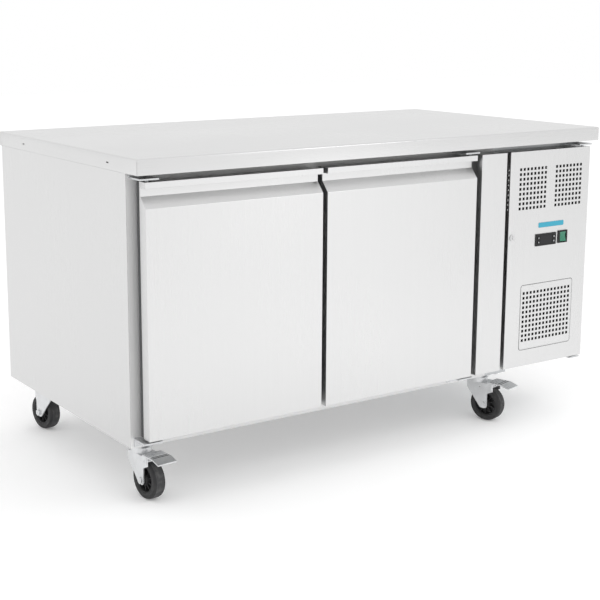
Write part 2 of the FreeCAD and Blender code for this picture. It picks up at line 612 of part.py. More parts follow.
def make_rotor(name, along, start, radius, hub, deep):
    """A hub with five pitched blades, turning about X or Y."""
    parts = [rod(f"{name}_hub", hub, str(deep + 6), ["0", "0", "-3"])]
    for number in range(5):
        blade = doc.addObject("Part::Box", f"{name}_blade{number}")
        bind(blade, "Length", f"{radius}-{hub}+8")
        blade.Width, blade.Height = BLADE
        root = FreeCAD.Placement(FreeCAD.Vector(SIZES[hub] - 4, 0, deep / 2), FreeCAD.Rotation())
        pitch = FreeCAD.Placement(FreeCAD.Vector(), FreeCAD.Rotation(FreeCAD.Vector(1, 0, 0), 26))
        spin = FreeCAD.Placement(FreeCAD.Vector(), FreeCAD.Rotation(FreeCAD.Vector(0, 0, 1), 72 * number))
        centred = FreeCAD.Placement(FreeCAD.Vector(0, -BLADE[0] / 2, -BLADE[1] / 2), FreeCAD.Rotation())
        blade.Placement = spin * root * pitch * centred
        parts.append(blade)
    trimmed = doc.addObject("Part::MultiCommon", f"{name}_trimmed")
    swept = rod(f"{name}_sweep", radius, "60", ["0", "0", "-15"])
    trimmed.Shapes = [fuse(f"{name}_blades", parts[1:]), swept]
    bore = rod(f"{name}_bore", "shaft_radius+pin_play", "60", ["0", "0", "-15"])
    return place(cut(name, fuse(f"{name}_solid", [parts[0], trimmed]), [bore]), start, ALONG[along])


def make_compressor():
    """Sealed pot on four rubber mounts, with its baseplate."""
    middle = ["pot_across+width/2-right_gap-310", f"{FACE}+pot_back", "bay_bottom+sheet+20"]
    pot = body_named("compressor_pot")
    half = [("0", "12"), ("pot_radius-16", "12"), ("pot_radius", "28"), ("pot_radius", "pot_height*0.46"),
            ("pot_radius+4", "pot_height*0.46"), ("pot_radius+4", "pot_height*0.46+8"),
            ("pot_radius", "pot_height*0.46+8"), ("pot_radius", "pot_height-34"),
            ("pot_radius-40", "pot_height"), ("0", "pot_height")]
    profile = outline(pot, "XZ_Plane", "pot_half", half)
    turned = pot.newObject("PartDesign::Revolution", "pot_turned")
    turned.Profile = profile
    turned.ReferenceAxis = (profile, ["V_Axis"])
    turned.Angle = 360
    pot.Tip = turned
    rounded(pot, 9, lambda edge: abs(edge.BoundBox.ZMax - edge.BoundBox.ZMin) < 0.01
            and edge.BoundBox.ZMin > 150 and edge.BoundBox.XMax > 60)
    place(pot, middle)
    x, y, z = middle
    plate = box("compressor_plate", ["plate_long", "plate_deep", "3"],
                [f"{x}-plate_long/2", f"{y}-plate_deep/2", f"{z}+3"])
    saddle = rod("compressor_saddle", "58", "9.5", [x, y, f"{z}+5"])
    terminal = box("compressor_terminal", ["44", "30", "52"], [f"{x}-22", f"{y}-pot_radius-24", f"{z}+70"])
    corners = [(sx, sy) for sx in ("-foot_across", "+foot_across") for sy in ("-foot_deep", "+foot_deep")]
    holes = [rod(f"compressor_hole{n}", "8", "8", [f"{x}{sx}", f"{y}{sy}", f"{z}"])
             for n, (sx, sy) in enumerate(corners)]
    node(cut("compressor", fuse("compressor_block", [plate, saddle, pot, terminal]), holes))
    mounts = []
    for number, (sx, sy) in enumerate(corners):
        foot = rod(f"mount_foot{number}", "14", "22.5", [f"{x}{sx}", f"{y}{sy}", f"{z}-19.9"])
        neck = rod(f"mount_neck{number}", "7.8", "6", [f"{x}{sx}", f"{y}{sy}", f"{z}+2"])
        head = rod(f"mount_head{number}", "11", "4", [f"{x}{sx}", f"{y}{sy}", f"{z}+6.5"])
        mounts.append(fuse(f"mount{number}", [foot, neck, head]))
    node(group("compressor_mounts", mounts))


def tube(name, plane, route, radius, corner):
    """A bent tube along a flat route of straight runs with round corners."""
    body = body_named(name + "_run")
    path = sketch_on(body, plane, name + "_route")
    last = len(route) - 1
    for index in range(last):
        start = FreeCAD.Vector(10 * index, index * index, 0)
        end = FreeCAD.Vector(10 * index + 10, (index + 1) ** 2, 0)
        path.addGeometry(Part.LineSegment(start, end), False)
    for index in range(last - 1):
        path.addConstraint(Sketcher.Constraint("Coincident", index, 2, index + 1, 1))
    for index, (across, up) in enumerate(route):
        line, end = (index, 1) if index < last else (last - 1, 2)
        for direction, formula in (("DistanceX", across), ("DistanceY", up)):
            number = path.addConstraint(Sketcher.Constraint(direction, -1, 1, line, end, 1.0))
            bind(path, f"Constraints[{number}]", formula)
    start = route[0] if plane == "XY_Plane" else ("0", "0")
    ring = disc_at(body, "XY_Plane", name + "_section", radius, start)
    pipe = body.newObject("PartDesign::AdditivePipe", name + "_pipe")
    pipe.Profile = ring
    pipe.Spine = path
    pipe.Transition = 2
    body.Tip = pipe
    return place(body, corner)


def make_pipes():
    """Discharge line up over the condenser with its drier, and the suction line to the divider."""
    x, y = "pot_across+width/2-right_gap-310", f"{FACE}+pot_back"
    start = "bay_bottom+sheet+20+pot_height"
    discharge = tube("discharge", "YZ_Plane", [("0", "0"), ("0", "130"), ("-120", "130"), ("-120", "60")],
                     "pipe_radius", [f"{x}+30", f"{y}", start])
    drier = rod("drier", "drier_radius", "drier_long", [f"{x}+30", f"{y}-120", f"{start}-28"])
    suction = tube("suction", "XZ_Plane", [("0", "0"), ("0", "180"), ("-134.5", "180")], "pipe_radius+1",
                   [f"{x}-30", f"{y}", start])
    node(group("refrigerant_pipes", [fuse("discharge_line", [discharge, drier]), suction]))


def make_electrics():
    node(box("control_box", ["45", "150", "110"], [COLD_RIGHT, f"{FACE}+260", "560"]))
    x, z = f"{RIGHT}-60", "bay_bottom+60"
    block = box("inlet_block", ["30", "26", "22"], [f"{x}-15", f"{BACK}-24", f"{z}-11"])
    flange = box("inlet_flange", ["40", "2.5", "28"], [f"{x}-20", BACK, f"{z}-14"])
    well = box("inlet_well", ["24", "18", "16"], [f"{x}-12", f"{BACK}-13", f"{z}-8"])
    blades = [box(f"inlet_pin{n}", ["2", "16", "4"], [f"{x}{shift}", f"{BACK}-14", f"{z}{lift}"])
              for n, (shift, lift) in enumerate((("-8", "-3"), ("-1", "+1"), ("+6", "-3")))]
    node(fuse("mains_inlet", [cut("inlet_shell", fuse("inlet_body", [block, flange]), [well])] + blades))


# ---- cold room fittings ----

def make_cooler():
    """Evaporator coil and blower in a sheet duct at the right end of the cold room."""
    left = f"{ROOM_RIGHT}-liner_sheet-cooler_width"
    low, high = f"{ROOM_FLOOR}+liner_sheet+4", f"{ROOM_ROOF}-liner_sheet-1"
    front, back = f"{FACE}+frame_thick+8", f"{ROOM_BACK}-liner_sheet-4"
    duct = hollow_tray("cooler_duct", ["cooler_width-1", f"({back})-({front})", f"({high})-({low})"],
                       [left, front, low], "liner_sheet", "right")
    blower = [f"{left}-2", "0", "blower_level"]
    mouth = rod("cooler_mouth", "blower_radius+5", "8", blower, "x")
    slots = [box(f"cooler_slot{n}", ["8", "320", "9"], [f"{left}-3", "-160", f"260+{n}*24"])
             for n in range(7)]
    node(cut("evaporator_cover", duct, [mouth] + slots))
    coil = box("coil_block", ["cooler_width-26", "2*cooler_half", "cooler_high"],
               [f"{left}+16", "-cooler_half", "cooler_low"])
    end_high = f"cooler_low+cooler_high+11-({low})-liner_sheet"
    ends = [box(f"coil_end{n}", ["cooler_width-26", "3", end_high], [f"{left}+16", y, f"{low}+liner_sheet"])
            for n, y in enumerate(("-cooler_half-2.5", "cooler_half-0.5"))]
    node(fuse("evaporator_coil", [coil] + ends))
    rotor_place = [f"{left}+6", "0", "blower_level"]
    node(make_rotor("evaporator_fan_rotor", "x", rotor_place, "blower_radius", "fan_hub", 22))
    motor = rod("cooler_motor", "22", "36", [f"{left}+40", "0", "blower_level"], "x")
    shaft = rod("cooler_shaft", "shaft_radius", "40", [f"{left}+1", "0", "blower_level"], "x")
    arm = box("cooler_motor_arm", ["3", "12", f"({high})-blower_level-liner_sheet"],
              [f"{left}+50", "-6", "blower_level"])
    node(fuse("evaporator_fan_motor", [motor, shaft, arm]))


def shelf(name, left, width):
    """A plastic-coated wire shelf: a rim, cross bars and wires laid front to back."""
    radius = "shelf_wire"
    front, level = f"{FACE}+frame_thick+60", "shelf_level"
    bars = [rod(f"{name}_bar{n}", radius, width, [left, f"{front}+{n}*shelf_depth/3", level], "x")
            for n in range(4)]
    for n, x in enumerate((left, f"{left}+{width}")):
        bars.append(rod(f"{name}_side{n}", radius, "shelf_depth", [x, front, level], "y"))
    count = 16
    for n in range(1, count):
        bars.append(rod(f"{name}_wire{n}", "wire_radius", "shelf_depth",
                        [f"{left}+{n}*({width})/{count}", front, f"{level}+2.4"], "y"))
    return fuse(name, bars)


def make_shelves():
    middle = f"{DOOR_LEFT['right']}-door_gap/2"
    wall_left = f"{ROOM_LEFT}+liner_sheet"
    wall_right = f"{ROOM_RIGHT}-liner_sheet-cooler_width"
    columns = (wall_left, f"{middle}-rail_thick/2", f"{wall_right}-rail_thick")
    back = f"{FACE}+frame_thick+540"
    low, high = f"{ROOM_FLOOR}+liner_sheet+4", f"{ROOM_ROOF}-liner_sheet-2"
    supports = []
    for column, x in enumerate(columns):
        for row, y in enumerate((f"{FACE}+frame_thick+140", back)):
            rail = box(f"rail{column}{row}", ["rail_thick", "rail_width", f"({high})-({low})"], [x, y, low])
            notches = [box(f"notch{column}{row}{n}", ["rail_thick+2", "8", "6"],
                           [f"{x}-1", f"{y}+6", f"{low}+40+{n}*60"]) for n in range(8)]
            supports.append(cut(f"upright{column}{row}", rail, notches))
            for side, shift in (("a", "-14"), ("b", "+rail_thick")):
                if (column, side) not in ((0, "a"), (2, "b")):
                    supports.append(box(f"clip{column}{row}{side}", ["14", "16", "4"],
                                        [f"{x}{shift}", f"{y}+2", "shelf_level-shelf_wire-4"]))
    node(group("shelf_supports", supports))
    gap = "(rail_thick+shelf_wire+1)"
    left_wide = f"({middle}-rail_thick/2)-({wall_left})-{gap}-shelf_wire-1"
    node(shelf("shelf_left", f"{wall_left}+{gap}", left_wide))
    node(shelf("shelf_right", f"{middle}+rail_thick/2+shelf_wire+1",
               f"({wall_right})-({middle})-rail_thick/2-2*shelf_wire-2-rail_thick"))


# ---- casters ----

PLATE_LOW = "base_height-4"
FORK_TOP = "wheel_radius+64"


def make_wheel(name):
    """Solid rubber wheel with a dished web and a hub, turned about X."""
    wheel = body_named(name + "_turned")
    bore, half, hub = "axle_radius+pin_play", "wheel_width/2", "wheel_hub/2"
    web, rim = "6", "wheel_radius-16"
    right = [(hub, bore), (hub, "14"), (web, "17"), (web, f"{rim}-2"), (half, rim), (half, "wheel_radius")]
    left = [(f"-({across})", up) for across, up in reversed(right)]
    profile = outline(wheel, "XY_Plane", name + "_half", right + left)
    turned = wheel.newObject("PartDesign::Revolution", name + "_revolution")
    turned.Profile = profile
    turned.ReferenceAxis = (profile, ["H_Axis"])
    turned.Angle = 360
    wheel.Tip = turned
    size = SIZES["wheel_radius"]
    rounded(wheel, 6, lambda edge: (isinstance(edge.Curve, Part.Circle)
                                    and abs(edge.Curve.Radius - size) < 0.1))
    return wheel


def make_fork(name, brake):
    """Folded fork with its swivel cup, post and axle bolt; the wheel trails towards -Y."""
    fork = body_named(name + "_folded")
    wide = "fork_gap+2*leg_thick"
    tip = "-trail"
    ear = f"{tip}-28" if brake else f"{tip}-16"
    side = [("24", "wheel_radius+64"), ("24", "wheel_radius+46"), (f"{tip}+11", "wheel_radius-11"),
            (f"{tip}-11", "wheel_radius-11"), (f"{tip}-11", "wheel_radius+34"), (ear, "wheel_radius+42"),
            (ear, "wheel_radius+64")]
    pad(fork, outline(fork, "YZ_Plane", name + "_side", side), wide)
    channel = [("60", "0"), ("60", "wheel_radius+60"), ("-120", "wheel_radius+60"), ("-120", "0")]
    pocket(fork, outline(fork, "YZ_Plane", name + "_channel", channel), "fork_gap")
    foot = -SIZES["trail"]
    low = SIZES["wheel_radius"] - 11
    rounded(fork, 9, lambda edge: len(edge.Vertexes) == 2
            and edge.Vertexes[0].Point.distanceToPoint(edge.Vertexes[1].Point) < SIZES["leg_thick"] + 0.1
            and abs(edge.BoundBox.ZMin - low) < 0.1 and abs(edge.BoundBox.YMin - foot) < 12)
    parts = [fork, rod(name + "_cup", "cup_radius", "13", ["0", "0", FORK_TOP + "-0.5"]),
             rod(name + "_post", "post_radius", f"{PLATE_LOW}-({FORK_TOP})-1", ["0", "0", FORK_TOP]),
             rod(name + "_axle", "axle_radius", wide, [f"-({wide})/2", tip, "wheel_radius"], "x"),
             nut(name + "_axle_head", "nut_radius", "5", [f"-({wide})/2-4.8", tip, "wheel_radius"], "x"),
             nut(name + "_axle_nut", "nut_radius", "5", [f"({wide})/2-0.2", tip, "wheel_radius"], "x")]
    if brake:
        parts.append(rod(name + "_brake_pin", "brake_pin", "pedal_width+3",
                         ["-pedal_width/2-1.5", f"{tip}-20", "wheel_radius+53"], "x"))
    return fuse(name, parts)


def make_pedal(name):
    """Brake pedal: a bent ribbed tread between two ears that turn on the fork's pin."""
    tread = body_named(name + "_tread")
    tip = "-trail"
    side = [(f"{tip}-12", "wheel_radius+67"), (f"{tip}-12", "wheel_radius+70"),
            (f"{tip}-56", "wheel_radius+70"), (f"{tip}-82", "wheel_radius+62"),
            (f"{tip}-82", "wheel_radius+59"), (f"{tip}-56.5", "wheel_radius+67")]
    pad(tread, outline(tread, "YZ_Plane", name + "_side", side), "pedal_width")
    ribs = [box(f"{name}_rib{n}", ["pedal_width-8", "3", "1.7"],
                ["-pedal_width/2+4", f"{tip}-18-{n}*8", "wheel_radius+69.8"]) for n in range(4)]
    ears = []
    for end, shift in (("near", "-pedal_width/2"), ("far", "pedal_width/2-leg_thick")):
        ears.append(box(f"{name}_ear_{end}", ["leg_thick", "16", "21"],
                        [shift, f"{tip}-28", "wheel_radius+47"]))
    hole = rod(name + "_hole", "brake_pin+pin_play", "pedal_width+4",
               ["-pedal_width/2-2", f"{tip}-20", "wheel_radius+53"], "x")
    return cut(name, fuse(name + "_block", [tread] + ribs + ears), [hole])


def make_casters():
    plates, bolts = [], []
    for where, (from_left, from_front, turn, brake) in CASTERS.items():
        name = f"caster_{where}"
        centre = [f"-width/2+{from_left}", f"-depth/2+{from_front}"]
        upright = ((0, 0, 1), turn)
        node(place(make_fork(f"{name}_fork", brake), centre + ["0"], upright))
        wheel = make_wheel(f"{name}_wheel")
        fork_turn = FreeCAD.Rotation(FreeCAD.Vector(0, 0, 1), turn)
        offset = fork_turn.multVec(FreeCAD.Vector(0, -1, 0))
        axle = [f"{start}+trail*({step:.6f})" for start, step in zip(centre, (offset.x, offset.y))]
        place(wheel, axle + ["wheel_radius"], upright)
        wheel.Label = f"{name}_wheel"
        node(wheel)
        if brake:
            node(place(make_pedal(f"{name}_pedal"), centre + ["0"], upright))
        race = rod(f"{name}_race", "cup_radius+3", f"{PLATE_LOW}-({FORK_TOP})-12.5+0.5",
                   centre + [f"{FORK_TOP}+12.8"])
        flat = box(f"{name}_flat", ["mount_width", "mount_length", "4"],
                   [f"{centre[0]}-mount_width/2", f"{centre[1]}-mount_length/2", PLATE_LOW])
        bore = rod(f"{name}_bore", "post_radius+pin_play", "60", centre + [FORK_TOP])
        plates.append(cut(f"{name}_plate", fuse(f"{name}_top", [flat, race]), [bore]))
        for number, (sx, sy) in enumerate((("-", "-"), ("-", "+"), ("+", "-"), ("+", "+"))):
            spot = [f"{centre[0]}{sx}bolt_across/2", f"{centre[1]}{sy}bolt_along/2"]
            low = [f"{PLATE_LOW}-bolt_high"]
            bolts.append(nut(f"{name}_bolt{number}", "bolt_head", "bolt_high", spot + low))
    node(group("caster_plates", plates))
    return bolts


make_worktop()
make_cold_cabinet()
for door_side in DOOR_LEFT:
    make_door(door_side)
hinge_screws = make_hinges()
make_machine_panel()
make_controller()
make_switch()
make_lock()
make_bay_covers()
make_condenser()
make_compressor()
make_pipes()
make_electrics()
make_cooler()
make_shelves()
node(group("fasteners", hinge_screws + make_casters()))

doc.recompute()
for thing in doc.Objects:
    if "Invalid" in thing.State or "Error" in thing.State:
        raise RuntimeError(f"{thing.Label} did not rebuild: {thing.State}")
os.makedirs("parts", exist_ok=True)
for piece in nodes:
    if piece.Shape.isNull() or not piece.Shape.isValid():
        raise RuntimeError(f"{piece.Label} has no valid shape")
    piece.Shape.exportStep(f"parts/{piece.Label}.step")
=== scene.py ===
"""Looks of the undercounter refrigerator: finishes, soft seals, coils, wheels, screws and a pale studio."""

import json
import math

import bmesh
import bpy
from mathutils import Matrix, Vector

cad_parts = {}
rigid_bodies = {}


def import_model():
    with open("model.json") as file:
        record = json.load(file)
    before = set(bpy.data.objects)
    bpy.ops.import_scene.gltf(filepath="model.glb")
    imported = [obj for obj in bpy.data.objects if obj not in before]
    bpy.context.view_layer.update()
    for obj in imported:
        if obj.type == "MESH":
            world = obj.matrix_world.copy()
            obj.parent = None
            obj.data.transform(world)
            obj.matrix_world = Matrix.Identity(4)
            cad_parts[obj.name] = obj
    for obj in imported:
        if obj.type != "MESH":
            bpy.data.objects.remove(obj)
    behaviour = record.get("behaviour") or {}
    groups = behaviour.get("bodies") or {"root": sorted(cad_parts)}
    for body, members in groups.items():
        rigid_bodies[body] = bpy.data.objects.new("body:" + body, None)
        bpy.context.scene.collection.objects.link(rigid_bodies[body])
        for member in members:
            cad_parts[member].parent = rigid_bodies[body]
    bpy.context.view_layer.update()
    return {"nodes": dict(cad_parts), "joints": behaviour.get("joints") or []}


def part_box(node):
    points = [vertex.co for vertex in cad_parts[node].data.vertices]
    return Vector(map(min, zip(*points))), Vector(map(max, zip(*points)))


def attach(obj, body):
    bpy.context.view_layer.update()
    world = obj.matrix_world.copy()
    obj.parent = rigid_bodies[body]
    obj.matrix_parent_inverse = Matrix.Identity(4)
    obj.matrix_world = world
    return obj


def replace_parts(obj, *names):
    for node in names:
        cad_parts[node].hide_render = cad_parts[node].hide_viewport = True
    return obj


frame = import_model()
MM = 0.001
JOINTS = {joint["name"]: joint for joint in frame["joints"]}


# ---- small mesh tools: every piece keeps its place in its own vertices ----

def piece(name, mesh, body, material):
    """Link a finished bmesh as an object that moves with a CAD body."""
    data = bpy.data.meshes.new(name)
    bmesh.ops.recalc_face_normals(mesh, faces=mesh.faces)
    mesh.to_mesh(data)
    mesh.free()
    thing = bpy.data.objects.new(name, data)
    bpy.context.scene.collection.objects.link(thing)
    for finish in material if isinstance(material, (list, tuple)) else [material]:
        data.materials.append(finish)
    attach(thing, body)
    return thing


def smooth_by_angle(thing, degrees=35):
    """Shade smoothly, but keep the edges sharper than the angle as edges."""
    data = thing.data
    data.polygons.foreach_set("use_smooth", [True] * len(data.polygons))
    data.set_sharp_from_angle(angle=math.radians(degrees))
    return thing


def bevelled(thing, width, segments=2, degrees=30):
    """Round the sharp edges of a piece with a modifier."""
    bevel = thing.modifiers.new("rounded_edges", "BEVEL")
    bevel.width = width
    bevel.segments = segments
    bevel.limit_method = "ANGLE"
    bevel.angle_limit = math.radians(degrees)
    return thing


def add_box(mesh, low, high, number=0):
    """A block between two corners; number picks its material."""
    corners = [Vector((x, y, z)) for x in (low[0], high[0]) for y in (low[1], high[1])
               for z in (low[2], high[2])]
    points = [mesh.verts.new(corner) for corner in corners]
    for face in ((0, 1, 3, 2), (4, 6, 7, 5), (0, 4, 5, 1), (2, 3, 7, 6), (0, 2, 6, 4), (1, 5, 7, 3)):
        mesh.faces.new([points[index] for index in face]).material_index = number


def bridge(mesh, rings, closed=False, number=0):
    """Join rings of vertices, each one loop, into a skin."""
    pairs = list(zip(rings, rings[1:])) + ([(rings[-1], rings[0])] if closed else [])
    for first, second in pairs:
        count = len(first)
        for index in range(count):
            after = (index + 1) % count
            face = mesh.faces.new((first[index], first[after], second[after], second[index]))
            face.material_index = number


def bridge_solid(mesh, rings, number=0):
    """Join rings of vertices and close both ends."""
    bridge(mesh, rings, number=number)
    mesh.faces.new(rings[0]).material_index = number
    mesh.faces.new(list(reversed(rings[-1]))).material_index = number


def lathe(mesh, profile, matrix, steps=48, number=0, capped=False):
    """Turn a profile of (along, radius) points about the matrix's own X axis."""
    rings = []
    for along, radius in profile:
        ring = []
        for step in range(steps):
            angle = math.tau * step / steps
            point = Vector((along, radius * math.cos(angle), radius * math.sin(angle)))
            ring.append(mesh.verts.new(matrix @ point))
        rings.append(ring)
    bridge(mesh, rings, closed=not capped, number=number)
    if capped:
        mesh.faces.new(rings[0]).material_index = number
        mesh.faces.new(list(reversed(rings[-1]))).material_index = number


def add_tube(mesh, points, radius, steps=10, number=0):
    """A round tube that follows points, with flat ends."""
    points = [Vector(point) for point in points]
    rings = []
    side = None
    for index, point in enumerate(points):
        ahead = points[min(index + 1, len(points) - 1)] - points[max(index - 1, 0)]
        ahead.normalize()
        if side is None:
            side = ahead.orthogonal().normalized()
        side = (side - ahead * side.dot(ahead)).normalized()
        up = ahead.cross(side)
        ring = []
        for step in range(steps):
            angle = math.tau * step / steps
            ring.append(mesh.verts.new(point + radius * (side * math.cos(angle) + up * math.sin(angle))))
        rings.append(ring)
    bridge_solid(mesh, rings, number)


def turned_frame(joint_name):
    """A matrix whose X axis is the joint's axis and whose origin is the joint's place."""
    joint = JOINTS[joint_name]
    axis = Vector(joint["axis"]).normalized()
    up = Vector((0, 0, 1)) if abs(axis.z) < 0.9 else Vector((0, 1, 0))
    side = up.cross(axis).normalized()
    up = axis.cross(side)
    matrix = Matrix((axis, side, up)).transposed().to_4x4()
    matrix.translation = Vector(joint["pos_m"])
    return matrix


# ---- finishes ----

class Finish:
    """A procedural material: a principled shader with patterns in the object's own space."""

    def __init__(self, name, colour, **sockets):
        self.material = bpy.data.materials.new(name)
        self.material.use_nodes = True
        self.tree = self.material.node_tree
        self.shader = self.tree.nodes["Principled BSDF"]
        self.colour = (*colour, 1.0)
        self.shader.inputs["Base Color"].default_value = self.colour
        for socket, value in sockets.items():
            self.shader.inputs[socket.replace("_", " ")].default_value = value
        self.material.diffuse_color = self.colour
        self.place = self.tree.nodes.new("ShaderNodeTexCoord").outputs["Object"]
        self.height = None

    def stretched(self, per_metre):
        """The place in the object, counted in pattern cells per metre: one number, or one for each axis."""
        node = self.tree.nodes.new("ShaderNodeMapping")
        even = isinstance(per_metre, (int, float))
        node.inputs["Scale"].default_value = (per_metre,) * 3 if even else per_metre
        self.tree.links.new(self.place, node.inputs["Vector"])
        return node.outputs["Vector"]

    def noise(self, per_metre, detail=2.0):
        node = self.tree.nodes.new("ShaderNodeTexNoise")
        node.inputs["Scale"].default_value = 1.0
        node.inputs["Detail"].default_value = detail
        self.tree.links.new(self.stretched(per_metre), node.inputs["Vector"])
        return node.outputs["Fac"]

    def cells(self, per_metre, output="Color", feature="F1"):
        node = self.tree.nodes.new("ShaderNodeTexVoronoi")
        node.feature = feature
        node.inputs["Scale"].default_value = 1.0
        self.tree.links.new(self.stretched(per_metre), node.inputs["Vector"])
        return node.outputs[output]

    def spread(self, value, low, high, start=0.3, end=0.7):
        """Map a pattern's middle range to the range low to high."""
        node = self.tree.nodes.new("ShaderNodeMapRange")
        for socket, number in (("From Min", start), ("From Max", end), ("To Min", low), ("To Max", high)):
            node.inputs[socket].default_value = number
        self.tree.links.new(value, node.inputs["Value"])
        return node.outputs["Result"]

    def combined(self, first, second, operation="MULTIPLY"):
        node = self.tree.nodes.new("ShaderNodeMath")
        node.operation = operation
        for socket, value in zip(node.inputs, (first, second)):
            if isinstance(value, (int, float)):
                socket.default_value = value
            else:
                self.tree.links.new(value, socket)
        return node.outputs["Value"]

    def colour_mix(self, blend):
        """A mix node between the base colour so far and the shader."""
        node = self.tree.nodes.new("ShaderNodeMix")
        node.data_type = "RGBA"
        node.blend_type = blend
        source = self.shader.inputs["Base Color"]
        if source.links:
            self.tree.links.new(source.links[0].from_socket, node.inputs["A"])
        else:
            node.inputs["A"].default_value = self.colour
        self.tree.links.new(node.outputs["Result"], source)
        return node

    def shade(self, value):
        """Scale the base colour by a pattern around one."""
        node = self.colour_mix("MULTIPLY")
        node.inputs["Factor"].default_value = 1.0
        self.tree.links.new(value, node.inputs["B"])
        return self

    def tint(self, value, colour):
        """Blend towards another colour where the pattern is high."""
        node = self.colour_mix("MIX")
        node.inputs["B"].default_value = (*colour, 1.0)
        self.tree.links.new(value, node.inputs["Factor"])
        return self

    def rough(self, value):
        self.tree.links.new(value, self.shader.inputs["Roughness"])
        return self

    def bump(self, value, depth, strength=1.0):
        """Add a fine relief; depth is the height of the pattern in metres."""
        node = self.tree.nodes.new("ShaderNodeBump")
        node.inputs["Distance"].default_value = depth
        node.inputs["Strength"].default_value = strength
        self.tree.links.new(value, node.inputs["Height"])
        if self.height:
            self.tree.links.new(self.height, node.inputs["Normal"])
        self.height = node.outputs["Normal"]
        self.tree.links.new(self.height, self.shader.inputs["Normal"])
        return self


ALONG_GRAIN = 0.7
BROAD_STREAK = 90
FINE_STREAK = 1300


def grain_scale(along, across):
    """Pattern cells per metre that are long in one direction and fine in the other two."""
    return tuple(ALONG_GRAIN * across / BROAD_STREAK if axis == along else across for axis in "xyz")


def brushed_steel(name, along, colour=(0.70, 0.70, 0.70), rough=(0.26, 0.36), contrast=0.03, metallic=1.0):
    """Satin stainless sheet: long fine brush marks, broad faint streaks and a soft cloudy sheen."""
    finish = Finish(name, colour, Metallic=metallic)
    fine = finish.noise(grain_scale(along, FINE_STREAK), 3.0)
    broad = finish.noise(grain_scale(along, BROAD_STREAK), 2.0)
    cloud = finish.noise(3.1, 3.0)
    finish.shade(finish.spread(broad, 1 - contrast / 5, 1.0))
    finish.shade(finish.spread(fine, 1 - contrast, 1.0))
    finish.shade(finish.spread(cloud, 1 - contrast / 2, 1.0))
    streaks = finish.spread(fine, rough[0], rough[1])
    finish.rough(finish.combined(streaks, finish.spread(cloud, -0.03, 0.04), "ADD"))
    finish.bump(fine, 0.012 * MM, 0.3)
    return finish.material


def zinc(name, colour=(0.80, 0.81, 0.82), rough=(0.26, 0.42)):
    """Bright zinc plate: slightly uneven gloss and small dull flecks."""
    finish = Finish(name, colour, Metallic=0.75)
    flecks = finish.noise(420, 4.0)
    cloud = finish.noise(26, 3.0)
    finish.shade(finish.spread(cloud, 0.86, 1.0))
    finish.shade(finish.spread(flecks, 0.94, 1.0))
    finish.rough(finish.spread(cloud, rough[0], rough[1]))
    finish.bump(flecks, 0.03 * MM, 0.5)
    return finish.material


def galvanised(name):
    """Hot-dipped sheet with its crystal pattern of light and dull patches."""
    finish = Finish(name, (0.62, 0.635, 0.645), Metallic=1.0)
    crystals = finish.cells(115)
    veins = finish.cells(115, "Distance", "SMOOTH_F1")
    cloud = finish.noise(9, 3.0)
    finish.shade(finish.spread(crystals, 0.80, 1.0, 0.0, 1.0))
    finish.shade(finish.spread(cloud, 0.92, 1.0))
    finish.rough(finish.spread(crystals, 0.30, 0.52, 0.0, 1.0))
    finish.bump(veins, 0.04 * MM, 0.4)
    return finish.material


def moulded(name, colour, rough=(0.34, 0.46), grain=1500, depth=0.03):
    """Moulded plastic: a fine spark-eroded grain with slight gloss changes."""
    finish = Finish(name, colour, Specular_IOR_Level=0.3)
    texture = finish.noise(grain, 2.0)
    cloud = finish.noise(35, 2.0)
    finish.shade(finish.spread(cloud, 0.88, 1.0))
    finish.rough(finish.spread(cloud, rough[0], rough[1]))
    finish.bump(texture, depth * MM, 0.5)
    return finish.material


def rubber(name, colour, rough=(0.62, 0.8), dust=(0.16, 0.155, 0.15), dusty=0.18):
    """Dense rubber with a little pale dust in its grain."""
    finish = Finish(name, colour)
    texture = finish.noise(900, 3.0)
    marks = finish.noise(70, 4.0)
    finish.tint(finish.spread(marks, 0.0, dusty, 0.45, 0.75), dust)
    finish.rough(finish.spread(texture, rough[0], rough[1]))
    finish.bump(texture, 0.05 * MM, 0.6)
    return finish.material


def painted(name, colour, rough=(0.22, 0.34)):
    """Thick stove enamel with orange peel."""
    finish = Finish(name, colour, Coat_Weight=0.35, Coat_Roughness=0.18)
    peel = finish.noise(260, 2.0)
    cloud = finish.noise(18, 3.0)
    finish.shade(finish.spread(cloud, 0.75, 1.0))
    finish.rough(finish.spread(cloud, rough[0], rough[1]))
    finish.bump(peel, 0.06 * MM, 0.5)
    return finish.material


def polished(name, colour=(0.80, 0.80, 0.81)):
    """Bright plated metal with faint handling marks."""
    finish = Finish(name, colour, Metallic=1.0)
    marks = finish.noise(160, 4.0)
    finish.shade(finish.spread(marks, 0.9, 1.0))
    finish.rough(finish.spread(marks, 0.12, 0.26, 0.4, 0.75))
    return finish.material


def copper(name):
    """Drawn copper tube with brown heat marks and dull patches."""
    finish = Finish(name, (0.78, 0.40, 0.27), Metallic=1.0)
    marks = finish.noise(55, 4.0)
    fine = finish.noise(500, 2.0)
    finish.tint(finish.spread(marks, 0.0, 0.7, 0.45, 0.72), (0.36, 0.17, 0.10))
    finish.rough(finish.spread(marks, 0.22, 0.48))
    finish.bump(fine, 0.02 * MM, 0.4)
    return finish.material


def fin_stock(name):
    """Thin rolled aluminium foil."""
    finish = Finish(name, (0.80, 0.81, 0.82), Metallic=1.0)
    rolled = finish.noise((30, 30, 900), 2.0)
    cloud = finish.noise(22, 3.0)
    finish.shade(finish.spread(cloud, 0.84, 1.0))
    finish.rough(finish.spread(rolled, 0.25, 0.42))
    return finish.material


